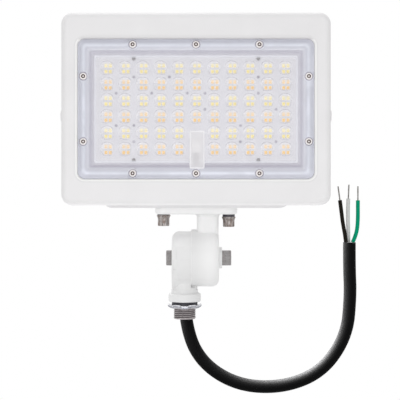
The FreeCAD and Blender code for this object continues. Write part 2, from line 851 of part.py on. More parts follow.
def make_plain_plates():
    """Flat pieces cut from sheet: the lens gasket, the board, the cover gasket and the bracket gasket."""
    seal = Piece("lens_gasket")
    ring = seal.front("seat_front")
    rounded(ring, "lens_width - 2 * lens_gap", "lens_height - 2 * lens_gap", "lens_corner - lens_gap")
    rounded(ring, "cavity_width + lens_gap", "cavity_height + lens_gap", "cavity_corner")
    for x, z in lens_screw_places():
        circle(ring, "screw_hole", x, z)
    seal.pad(ring, "lens_seal")
    seal.done()

    board = Piece("led_board")
    sheet = board.front("floor_front")
    rounded(sheet, "board_width", "board_height", "cavity_corner / 2")
    for x, z in board_screw_places():
        circle(sheet, "screw_hole", x, z)
    circle(sheet, "lead_hole", y="-feed_drop")
    board.pad(sheet, "board_thickness")
    board.done()

    gasket = Piece("driver_cover_gasket")
    rim = gasket.sketch("XZ", "head_offset", "box_middle", "box_back")
    rounded(rim, "box_width", "box_height", "box_corner")
    rounded(
        rim,
        "box_width - 4 * cover_boss_inset + 2 * cover_boss_radius - box_wall",
        "box_height - 4 * cover_boss_inset + 2 * cover_boss_radius - box_wall",
        "box_wall",
    )
    for x, z in cover_screw_places():
        circle(rim, "screw_hole", x, z)
    gasket.pad(rim, "cover_seal", reverse=True)
    gasket.done()

    pad = Piece("bracket_gasket")
    flat = pad.sketch("XY", "head_offset", "0", "bracket_top")
    depth = "bracket_depth - 2 * casting_wall"
    rounded(flat, "bracket_width - 2 * casting_wall", depth, "bracket_corner - casting_wall")
    for side in (-1, 1):
        circle(flat, "bolt_clearance", x=f"{side} * bolt_spacing / 2")
    circle(flat, "wireway_radius", x="stem_middle - head_offset")
    pad.pad(flat, "bracket_seal")
    pad.done()


def screw(length_text):
    """A pan-head screw at the origin, its head's seat at y = 0 and its shank along +Y."""
    head = Part.makeCylinder(value("screw_head_radius"), value("screw_head_height"), Vector(), Vector(0, -1, 0))
    rim = [edge for edge in head.Edges if near(edge.BoundBox.YMax, "-screw_head_height")]
    head = head.makeFillet(value("screw_head_round"), rim)
    shank = Part.makeCylinder(value("screw_radius"), value(length_text), Vector(), Vector(0, 1, 0))
    top = Vector(0, -value("screw_head_height"), 0)
    turns = [Rotation(Vector(0, 1, 0), 60 * i) for i in range(7)]
    corners = [top + turn.multVec(Vector(value("screw_socket"), 0, 0)) for turn in turns]
    socket = Part.Face(Part.makePolygon(corners)).extrude(Vector(0, value("screw_socket_depth"), 0))
    return head.fuse(shank).cut(socket).removeSplitter()


def make_screws():
    """Groups of like screws, each seated on the face that it holds down."""
    spots = [head_point(value(x), value(z), value("screw_seat")) for x, z in lens_screw_places()]
    reach = "screw_seat - flange_back + lens_seal + screw_length"
    group("lens_screws", copies(screw(reach), spots))
    spots = [head_point(value(x), value(z), value("board_front")) for x, z in board_screw_places()]
    group("board_screws", copies(screw("board_thickness + floor_grip"), spots))
    turned = Placement(Vector(), Rotation(Vector(0, 0, 1), 180))
    rise = value("box_middle - head_middle")
    rear = screw("cover_thickness + cover_seal + screw_length").transformed(turned.toMatrix())
    spots = [head_point(value(x), rise + value(z), value("cover_back")) for x, z in cover_screw_places()]
    group("driver_cover_screws", copies(rear, spots))
    rise = value("driver_middle - head_middle")
    seat = value("floor_back - driver_ear_thickness")
    rear = screw("driver_ear_thickness + floor_grip").transformed(turned.toMatrix())
    spots = [head_point(value(x), rise + value(z), seat) for x, z in driver_screw_places()]
    group("driver_screws", copies(rear, spots))


def make_chips():
    """Four emitters under each dome, in rows of alternating colour."""
    width, rise = value("chip_width"), value("chip_height")
    across, up = value("chip_pitch_x") / 2, value("chip_pitch_z") / 2
    chip = Part.makeBox(width, rise, width, Vector(-width / 2, -rise, -width / 2))
    four = [Vector(i * across, 0, level * up) for i in (-1, 1) for level in (-1, 1)]
    rows = {"led_chips_cool": [], "led_chips_warm": []}
    for row in range(DOME_ROWS):
        for column in range(DOME_COLUMNS):
            if row >= DOME_ROWS_FULL and column == DOME_COLUMNS // 2:
                continue
            x = (column - (DOME_COLUMNS - 1) / 2) * value("dome_pitch_x")
            z = ((DOME_ROWS - 1) / 2 - row) * value("dome_pitch_z")
            label = "led_chips_warm" if row % 2 else "led_chips_cool"
            centre = head_point(x, z, value("board_front"))
            rows[label] += copies(chip, [centre + step for step in four])
    for label, shapes in rows.items():
        group(label, shapes)


def make_board_feed():
    """The board's connector and its two leads, which come up through the board's lower edge."""
    connector = Piece("board_connector")
    base = connector.front("board_front")
    rounded(base, "connector_width", "connector_length", "lead_radius", y="-wire_cover_drop + lead_hole")
    connector.pad(base, "connector_height")
    mouths = connector.sketch("XY", "head_offset", "-board_front - connector_height / 2", "connector_low")
    for side in (-1, 1):
        circle(mouths, "lead_radius + screw_clearance", x=f"{side} * lead_pitch / 2")
    connector.pocket(mouths, "connector_length / 3", reverse=True)
    connector.done()
    radius = value("lead_radius")
    start = value("floor_back")
    level = value("board_front + connector_height / 2")
    low = value("head_middle - feed_drop")
    high = value("connector_low + connector_length / 4")
    leads = []
    for side in (-1, 1):
        x = value("head_offset") + side * value("lead_pitch") / 2
        points = [Vector(x, -start, low), Vector(x, -level, low), Vector(x, -level, high)]
        leads.append(tube(points, radius, value("lead_bend"))[0])
    group("board_leads", leads)


def make_driver_box():
    """The driver, its ears, and the rear cover with the selector's recess."""
    driver = Piece("driver")
    case = driver.sketch("XZ", "head_offset", "driver_middle", "floor_back")
    rounded(case, "driver_width", "driver_height", "driver_corner")
    driver.pad(case, "driver_depth", reverse=True)
    ears = driver.sketch("XZ", "head_offset", "driver_middle", "floor_back")
    rounded(ears, "driver_width + 2 * driver_ear", "driver_height / 3", "driver_corner / 2")
    driver.pad(ears, "driver_ear_thickness", reverse=True)
    holes = driver.sketch("XZ", "head_offset", "driver_middle", "floor_back")
    for x, z in driver_screw_places():
        circle(holes, "screw_hole", x, z)
    driver.pocket(holes, "driver_ear_thickness", reverse=False)
    driver.round(
        "driver_corner / 2", lambda edge: near(edge.BoundBox.YMin, "-floor_back + driver_depth")
    )
    driver.done()

    cover = Piece("driver_cover")
    lid = cover.sketch("XZ", "head_offset", "box_middle", "cover_front")
    rounded(lid, "box_width", "box_height", "box_corner")
    for x, z in cover_screw_places():
        circle(lid, "screw_hole", x, z)
    cover.pad(lid, "cover_thickness", reverse=True)
    recess = cover.sketch("XZ", "selector_middle_x", "selector_middle_z", "cover_back")
    rounded(recess, "selector_recess_width", "selector_recess_height", "selector_recess_height / 3")
    cover.pocket(recess, "selector_recess_depth", reverse=True)
    slot = cover.sketch("XZ", "selector_middle_x", "selector_middle_z", "cover_back")
    rectangle(slot, "selector_slot_width", "selector_slot_height")
    cover.pocket(slot, "cover_thickness", reverse=True)
    cover.done()


def make_selector():
    """Colour selector: a switch behind the cover, its sliding knob and the soft plug over them."""
    place = ("XZ", "selector_middle_x", "selector_middle_z")
    switch = Piece("selector_switch")
    body = switch.sketch(*place, "cover_front")
    rounded(body, "selector_body_width", "selector_body_height", "selector_body_corner")
    switch.pad(body, "selector_body_depth")
    track = switch.sketch(*place, "cover_front")
    rectangle(track, "selector_slot_width", "selector_slot_height")
    switch.pocket(track, "selector_track_depth", reverse=True)
    switch.done()

    knob = Piece("selector_knob")
    stalk = knob.sketch(*place, "cover_front + selector_track_depth - slide_clearance")
    rectangle(stalk, "knob_width", "knob_height")
    depth = "selector_track_depth - slide_clearance + cover_thickness - selector_recess_depth + knob_rise"
    knob.pad(stalk, depth, reverse=True)
    knob.done()

    plug = Piece("selector_plug")
    cap = plug.sketch(*place, "recess_floor")
    rounded(
        cap,
        "selector_recess_width - 2 * slide_clearance",
        "selector_recess_height - 2 * slide_clearance",
        "selector_recess_height / 3 - slide_clearance",
    )
    plug.pad(cap, "plug_thickness", reverse=True)
    hollow = plug.sketch(*place, "recess_floor")
    rectangle(hollow, "selector_slot_width + knob_width", "selector_slot_height + knob_height")
    plug.pocket(hollow, "plug_hollow", reverse=False)
    tab = plug.sketch(*place, "recess_floor - plug_thickness")
    rounded(tab, "selector_recess_width / 2", "plug_tab", "plug_tab / 3")
    plug.pad(tab, "plug_tab", reverse=True)
    plug.done()


def cut_teeth(piece, face, inwards):
    """Cuts the ring of radial teeth into a knuckle half's mating face."""
    groove = piece.sketch("XY", face, "0", "pivot_height + tooth_ring")
    over = f"{-inwards} * tooth_depth / 4"
    polygon(
        groove,
        [(over, "-tooth_width / 2"), (f"{inwards} * tooth_depth", "0"), (over, "tooth_width / 2")],
    )
    tooth = piece.pocket(groove, "tooth_length", reverse=True)
    axis = piece.pivot(face)
    circle(axis, "tooth_ring")
    piece.repeat_round(tooth, axis, TOOTH_COUNT)


def make_knuckle_lower():
    """Lower knuckle half: disc, tapering arm, neck and collar, hollow for the conductors."""
    piece = Piece("knuckle_lower")
    disc = piece.pivot("split_lower")
    circle(disc, "lower_disc_radius")
    piece.pad(disc, "lower_disc_width", reverse=True)
    piece.round("lower_disc_round", lambda edge: lies_at(edge, "X", "-neck_radius"))
    arm = piece.sketch("YZ", "0", "0", "split_lower")
    polygon(
        arm,
        [
            ("-arm_foot", "shoulder_top"),
            ("arm_foot", "shoulder_top"),
            ("arm_head", "pivot_height - arm_drop"),
            ("-arm_head", "pivot_height - arm_drop"),
        ],
    )
    piece.pad(arm, "lower_disc_width", reverse=True)
    flat = piece.sketch("YZ", "0", "pivot_height", "split_lower")
    polygon(
        flat,
        [
            ("-lower_disc_radius + flat_ledge", "0"),
            ("-lower_disc_radius + flat_lean", "flat_height"),
            ("-lower_disc_radius - flat_ledge", "flat_height"),
            ("-lower_disc_radius - flat_ledge", "0"),
        ],
    )
    piece.pocket(flat, "split_lower + flat_left")
    for radius, low, high in (
        ("neck_radius", "collar_top", "neck_top"),
        ("shoulder_radius", "collar_top", "shoulder_top"),
        ("collar_radius", "collar_bottom", "collar_top"),
    ):
        ring = piece.sketch("XY", lift=low)
        circle(ring, radius)
        piece.pad(ring, f"{high} - {low}")
    piece.chamfer(
        "collar_chamfer",
        lambda edge: isinstance(edge.Curve, Part.Circle) and near(edge.Curve.Radius, "collar_radius"),
    )
    socket = piece.sketch("XY", lift="collar_bottom")
    circle(socket, "nipple_spigot + fit_clearance")
    piece.pocket(socket, "nipple_socket", reverse=True)
    bore = piece.sketch("XY", lift="collar_bottom")
    circle(bore, "nipple_bore")
    piece.pocket(bore, "bore_top - collar_bottom", reverse=True)
    chamber = piece.pivot("split_lower")
    circle(chamber, "chamber_radius")
    circle(chamber, "hub_radius")
    piece.pocket(chamber, "chamber_depth")
    hole = piece.pivot("split_lower")
    circle(hole, "bore_clearance")
    piece.pocket(hole, "lower_disc_width")
    cut_teeth(piece, "split_lower", -1)
    piece.done()


def stem_foot():
    """A test for edges within the stem's outline, seen from above."""
    left, right, front = value("stem_left"), value("stem_left + stem_width"), value("stem_depth / 2")

    def inside(edge):
        box = edge.BoundBox
        return box.XMin > left - TOUCH and box.XMax < right + TOUCH and max(-box.YMin, box.YMax) < front + TOUCH

    return inside


def make_knuckle_upper():
    """Upper knuckle half: disc, stem and bracket plate, hollow for the conductors."""
    piece = Piece("knuckle_upper")
    disc = piece.pivot("split_upper")
    circle(disc, "upper_disc_radius")
    piece.pad(disc, "upper_disc_width")
    piece.round("upper_disc_round", lambda edge: lies_at(edge, "X", "upper_outer"))
    stem = piece.sketch("XY", lift="pivot_height")
    rounded(stem, "stem_width", "stem_depth", "stem_round", x="stem_middle")
    piece.pad(stem, "arm_reach")
    plate = piece.sketch("XY", "head_offset", "0", "bracket_bottom")
    rounded(plate, "bracket_width", "bracket_depth", "bracket_corner")
    piece.pad(plate, "bracket_thickness")
    in_stem = stem_foot()
    piece.round("bracket_edge", lambda edge: lies_at(edge, "Z", "bracket_bottom") and not in_stem(edge))
    piece.round(
        "min(stem_fillet; bracket_overhang - bracket_edge - split_gap)",
        lambda edge: lies_at(edge, "Z", "bracket_bottom") and in_stem(edge),
    )
    boss = piece.pivot("upper_outer")
    circle(boss, "pivot_boss_radius")
    piece.pad(boss, "pivot_boss_height")
    chamber = piece.pivot("split_upper")
    circle(chamber, "chamber_radius")
    circle(chamber, "hub_radius")
    piece.pocket(chamber, "chamber_depth", reverse=True)
    hole = piece.pivot("split_upper")
    circle(hole, "bore_clearance")
    piece.pocket(hole, "upper_disc_width + pivot_boss_height", reverse=True)
    wireway = piece.sketch("XY", "stem_middle", "0", "bracket_top")
    circle(wireway, "wireway_radius")
    piece.pocket(wireway, "bracket_top - pivot_height - hub_radius - casting_wall")
    bolts = piece.sketch("XY", "head_offset", "0", "bracket_top")
    for side in (-1, 1):
        circle(bolts, "bolt_clearance", x=f"{side} * bolt_spacing / 2")
    piece.pocket(bolts, "bracket_thickness")
    cut_teeth(piece, "split_upper", 1)
    piece.done()


def make_pivot_bolt():
    """Hex bolt through both knuckle halves, and its nut."""
    bolt = Piece("pivot_bolt")
    head = bolt.pivot("-neck_radius")
    hexagon(head, "pivot_hex")
    bolt.pad(head, "pivot_head", reverse=True)
    shank = bolt.pivot("-neck_radius")
    circle(shank, "pivot_radius")
    bolt.pad(shank, "neck_radius + nut_seat + pivot_nut_height - pivot_end_recess")
    bolt.done()

    nut = Piece("pivot_nut")
    block = nut.pivot("nut_seat")
    hexagon(block, "pivot_hex")
    circle(block, "bore_clearance")
    nut.pad(block, "pivot_nut_height")
    nut.done()


def make_bracket_bolts():
    """Two flanged hex bolts with lock washers, holding the bracket to the driver box."""
    bolt = Piece("bracket_bolt")
    shank = bolt.sketch("XY", lift="bracket_bottom")
    circle(shank, "bolt_radius")
    bolt.pad(shank, "box_bottom - bracket_bottom + bolt_grip")
    flange = bolt.sketch("XZ")
    polygon(
        flange,
        [
            ("0", "bracket_bottom"),
            ("bolt_flange", "bracket_bottom"),
            ("bolt_flange", "bracket_bottom - bolt_flange_height / 2"),
            ("bolt_hex / 2", "bracket_bottom - 2 * bolt_flange_height"),
            ("0", "bracket_bottom - 2 * bolt_flange_height"),
        ],
    )
    bolt.revolve(flange)
    head = bolt.sketch("XY", lift="bracket_bottom")
    hexagon(head, "bolt_hex")
    bolt.pad(head, "bolt_head", reverse=True)
    bolts = []
    washers = []
    for side, thickness in ((-1, "left_washer"), (1, "right_washer")):
        washer = Piece("bracket_" + thickness)
        ring = washer.sketch("XY", lift="bracket_bottom")
        circle(ring, "washer_radius")
        circle(ring, "bolt_clearance")
        washer.pad(ring, thickness, reverse=True)
        across = value("head_offset") + side * value("bolt_spacing") / 2
        bolts.append(bolt.body.Shape.translated(Vector(across, 0, -value(thickness))))
        washers.append(washer.body.Shape.translated(Vector(across, 0, 0)))
    group("bracket_bolts", bolts)
    group("bracket_washers", washers)


def make_nipple():
    """Threaded nipple, its rubber seal, its locknut and the bushing round the cord."""
    nipple = Piece("threaded_nipple")
    thread = nipple.sketch("XY", lift="-free_thread")
    circle(thread, "thread_radius")
    nipple.pad(thread, "free_thread")
    shank = nipple.sketch("XY")
    circle(shank, "nipple_shank")
    nipple.pad(shank, "collar_bottom")
    spigot = nipple.sketch("XY", lift="collar_bottom")
    circle(spigot, "nipple_spigot")
    nipple.pad(spigot, "nipple_socket")
    bore = nipple.sketch("XY", lift="-free_thread")
    circle(bore, "nipple_bore")
    nipple.pocket(bore, "free_thread + collar_bottom + nipple_socket", reverse=True)
    nipple.chamfer(
        "thread_chamfer",
        lambda edge: lies_at(edge, "Z", "-free_thread") and near(edge.BoundBox.XMax, "thread_radius"),
    )
    profile = nipple.sketch("XZ")
    low = "-free_thread + thread_start"
    polygon(
        profile,
        [
            ("thread_radius + thread_depth / 4", f"{low} - thread_mouth"),
            ("thread_radius + thread_depth / 4", f"{low} + thread_mouth"),
            ("thread_radius - thread_depth", low),
        ],
    )
    cut = nipple.groove(profile)
    nipple.repeat_line(cut, profile, "V_Axis", f"{THREAD_GROOVES - 1} * thread_pitch", THREAD_GROOVES)
    nipple.done()

    seal = Piece("nipple_seal")
    ring = seal.sketch("XY", lift="locknut_top")
    circle(ring, "seal_radius")
    circle(ring, "nipple_shank + fit_clearance")
    seal.pad(ring, "seal_thickness")
    seal.done()

    locknut = Piece("locknut")
    body = locknut.sketch("XY", lift="locknut_gap")
    circle(body, "locknut_radius")
    circle(body, "nipple_shank + 2 * fit_clearance")
    locknut.pad(body, "locknut_thickness")
    lug = locknut.sketch("XZ", lift="-locknut_lug_width / 2")
    polygon(
        lug,
        [
            ("locknut_radius - locknut_lug_root", "locknut_gap"),
            ("locknut_reach", "locknut_gap + locknut_lug_rise"),
            ("locknut_reach", "locknut_top + locknut_lug_rise"),
            ("locknut_radius - locknut_lug_root", "locknut_top"),
        ],
    )
    one = locknut.pad(lug, "locknut_lug_width")
    axis = locknut.sketch("XY")
    circle(axis, "locknut_radius")
    locknut.repeat_round(one, axis, LUG_COUNT)
    locknut.done()

    bushing = Piece("cord_bushing")
    sleeve = bushing.sketch("XY", lift="collar_bottom + nipple_socket - bushing_length")
    circle(sleeve, "nipple_bore - fit_clearance")
    circle(sleeve, "cord_radius + cord_clearance")
    bushing.pad(sleeve, "bushing_length")
    bushing.done()


def tube(points, radius, bend=None):
    """Sweeps a round section along straight runs joined by tangent arcs, and gives the solid, path and radii.

    Each arc takes the same share of the shorter of its two runs on each side of its point, unless a bend is given.
    """
    edges = []
    radii = []
    start = points[0]
    for before, corner, after in zip(points, points[1:], points[2:]):
        into = (corner - before).normalize()
        out = (after - corner).normalize()
        half = into.getAngle(out) / 2
        reach = BEND_SHARE * min((corner - before).Length, (after - corner).Length)
        if bend:
            reach = bend * math.tan(half)
        radii.append(reach / math.tan(half))
        first = corner - into * reach
        last = corner + out * reach
        inward = (out - into).normalize()
        middle = corner + inward * (radii[-1] / math.cos(half) - radii[-1])
        edges.append(Part.LineSegment(start, first).toShape())
        edges.append(Part.Arc(first, middle, last).toShape())
        start = last
    edges.append(Part.LineSegment(start, points[-1]).toShape())
    path = Part.Wire(edges)
    heading = points[1] - points[0]
    section = Part.Wire([Part.Circle(points[0], heading, radius).toShape()])
    solid = path.makePipeShell([section], True, False, 2)
    expected = math.pi * radius**2 * path.Length
    if not solid.isValid() or abs(solid.Volume / expected - 1) > TUBE_TOLERANCE:
        raise RuntimeError("a tube's volume differs from its section times its length")
    return solid, path, radii


def cord(label, route, radius):
    """Makes one cord or wire along its route, and prints its length and bends."""
    points = [Vector(*point) for point in route]
    solid, path, radii = tube(points, radius)
    print(label, "length", round(path.Length, 1), "radii", [round(bend, 1) for bend in radii])
    feature = doc.addObject("Part::Feature", label)
    feature.Label = label
    feature.Shape = solid
    feature.Placement = Placement()
    nodes[label] = feature


def make_cords():
    """The supply cord, its three wires with their bare strands, and the conductors inside the knuckle."""
    cord("supply_cord", CORD_ROUTE, value("cord_radius"))
    strands = []
    for colour, route in WIRE_ROUTES.items():
        cord("wire_" + colour, route, value("wire_radius"))
        end = Vector(*route[-1])
        heading = end - Vector(*route[-2])
        strands.append(Part.makeCylinder(value("strand_radius"), value("strand_length"), end, heading))
    group("wire_strands", strands)
    radius = value("conductor_radius")
    apart = value("conductor_pitch") / math.sqrt(3)
    turns = [Rotation(Vector(0, 0, 1), 120 * i + 90).multVec(Vector(apart, 0, 0)) for i in range(3)]
    low = CORD_ROUTE[0][2]
    high = value("bore_top - screw_clearance")
    group("lower_leads", [Part.makeCylinder(radius, high - low, Vector(t.x, t.y, low)) for t in turns])
    low = value("pivot_height + hub_radius + casting_wall")
    high = value("driver_middle - driver_height / 2")
    across = value("stem_middle")
    group("upper_leads", [Part.makeCylinder(radius, high - low, Vector(across + t.x, t.y, low)) for t in turns])


def check_and_write():
    """Stops at anything that failed, then writes each node's solids."""
    doc.recompute()
    for feature in doc.Objects:
        if "Invalid" in feature.State or "Error" in feature.State:
            raise RuntimeError(f"{feature.Name} is {feature.State}")
    for label, feature in nodes.items():
        if feature.Shape.isNull() or not feature.Shape.isValid() or not feature.Shape.Solids:
            raise RuntimeError(f"{label} has no valid solid")
    os.makedirs("parts", exist_ok=True)
    for label, feature in nodes.items():
        feature.Shape.exportStep(f"parts/{label}.step")
    print(len(nodes), "nodes written")


make_housing()
make_lens_cover()
make_plain_plates()
make_screws()
make_chips()
make_board_feed()
make_driver_box()
make_selector()
make_knuckle_lower()
make_knuckle_upper()
make_pivot_bolt()
make_bracket_bolts()
make_nipple()
make_cords()
check_and_write()
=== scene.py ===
import math

import bpy
import numpy as np
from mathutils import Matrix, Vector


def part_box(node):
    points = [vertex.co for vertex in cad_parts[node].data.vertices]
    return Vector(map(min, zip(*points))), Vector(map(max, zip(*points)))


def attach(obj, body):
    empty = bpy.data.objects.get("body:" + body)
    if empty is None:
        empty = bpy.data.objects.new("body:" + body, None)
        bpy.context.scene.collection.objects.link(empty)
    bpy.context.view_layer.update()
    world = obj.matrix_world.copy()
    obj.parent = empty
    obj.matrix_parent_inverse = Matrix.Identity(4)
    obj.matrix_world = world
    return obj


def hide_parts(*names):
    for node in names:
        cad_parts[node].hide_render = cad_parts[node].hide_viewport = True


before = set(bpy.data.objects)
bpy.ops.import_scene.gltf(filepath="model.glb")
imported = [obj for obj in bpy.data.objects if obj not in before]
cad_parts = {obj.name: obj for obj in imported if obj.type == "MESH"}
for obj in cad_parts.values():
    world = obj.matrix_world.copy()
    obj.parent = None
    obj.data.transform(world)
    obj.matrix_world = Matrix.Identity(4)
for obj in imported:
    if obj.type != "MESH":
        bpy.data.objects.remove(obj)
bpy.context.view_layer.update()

bl_info = {
    "name": "Outdoor LED flood light",
    "version": (1, 0, 0),
    "blender": (4, 5, 0),
    "location": "View3D > Sidebar > Flood light",
    "description": "Dresses the flood light's solids with their visible surfaces and finishes",
    "category": "Object",
}

# Places taken from the solids, in metres; "ahead" is the distance towards the camera, along -Y
LENS_LOW, LENS_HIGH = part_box("lens_cover")
HEAD_X = (LENS_LOW.x + LENS_HIGH.x) / 2
HEAD_Z = (LENS_LOW.z + LENS_HIGH.z) / 2
LENS_HALF = ((LENS_HIGH.x - LENS_LOW.x) / 2, (LENS_HIGH.z - LENS_LOW.z) / 2)
LENS_AHEAD = -LENS_LOW.y
LENS_BACK = -LENS_HIGH.y
BOARD_AHEAD = -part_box("led_board")[0].y
HOUSING_LOW, HOUSING_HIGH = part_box("housing")
NIPPLE_LOW, NIPPLE_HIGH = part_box("threaded_nipple")
NUT_LOW, NUT_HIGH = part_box("locknut")
PIVOT_LOW, PIVOT_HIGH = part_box("pivot_bolt")
PIVOT_Z = (PIVOT_LOW.z + PIVOT_HIGH.z) / 2

# How far the side bosses stand out from the head, and half the head without them
SIDE_BOSS = 0.0012
HEAD_HALF = ((HOUSING_HIGH.x - HOUSING_LOW.x) / 2 - SIDE_BOSS, HOUSING_HIGH.z - HEAD_Z)

# Counts of what repeats
DOME_COLUMNS = 11
DOME_ROWS = 6
DOME_ROWS_FULL = 4
LUG_COUNT = 6
STRAND_COUNT = 6

# Board pads, each in the gap after a dome column and below a dome row
PAD_GAPS = (
    (1, 0), (3, 0), (8, 0), (0, 1), (2, 1), (4, 1), (5, 1), (8, 1),
    (5, 2), (9, 2), (0, 3), (1, 3), (7, 3), (1, 4), (7, 4), (9, 4),
)

# The cord's and wires' routes from the object outwards
CORD_ROUTE = (
    (0.0, 0.0, 0.0140),
    (0.0, 0.0, -0.0133),
    (0.0138, 0.0, -0.0502),
    (0.0488, 0.0, -0.0736),
    (0.0926, 0.0, -0.0766),
    (0.1319, 0.0, -0.0616),
    (0.1560, 0.0, -0.0265),
    (0.1595, 0.0, 0.0135),
    (0.1583, 0.0, 0.0395),
    (0.1584, 0.0, 0.0635),
)
WIRE_ROUTES = {
    "black": (
        (0.1549, -0.0008, 0.0635),
        (0.1542, -0.0008, 0.0705),
        (0.1519, -0.0008, 0.0820),
        (0.1504, -0.0008, 0.0950),
        (0.1492, -0.0008, 0.1040),
    ),
    "white": (
        (0.1578, 0.0026, 0.0635),
        (0.1576, 0.0026, 0.0770),
        (0.1571, 0.0026, 0.0915),
        (0.1577, 0.0026, 0.1055),
    ),
    "green": (
        (0.1614, -0.0008, 0.0635),
        (0.1632, -0.0008, 0.0670),
        (0.1658, -0.0008, 0.0755),
        (0.1665, -0.0008, 0.0860),
        (0.1665, -0.0008, 0.0950),
        (0.1665, -0.0008, 0.1039),
    ),
}


def srgb(red, green, blue):
    """A display colour, 0 to 255 a channel, as the linear colour that a shader takes.

    Near black the curve is a straight line, and past its toe a power of the share with an offset.
    """
    full, toe, toe_slope, offset, power = 255, 0.04045, 12.92, 0.055, 2.4
    share = np.array([red, green, blue]) / full
    curve = ((share + offset) / (1 + offset)) ** power
    return tuple(float(channel) for channel in np.where(share <= toe, share / toe_slope, curve))


def size(name, description, default):
    """A length that a user may change, in metres."""
    return bpy.props.FloatProperty(
        name=name, description=description, default=default, unit="LENGTH", precision=5
    )


def colour(name, description, red, green, blue):
    """A colour that a user may change, given as a display colour."""
    return bpy.props.FloatVectorProperty(
        name=name, description=description, default=srgb(red, green, blue), subtype="COLOR", min=0, max=1
    )


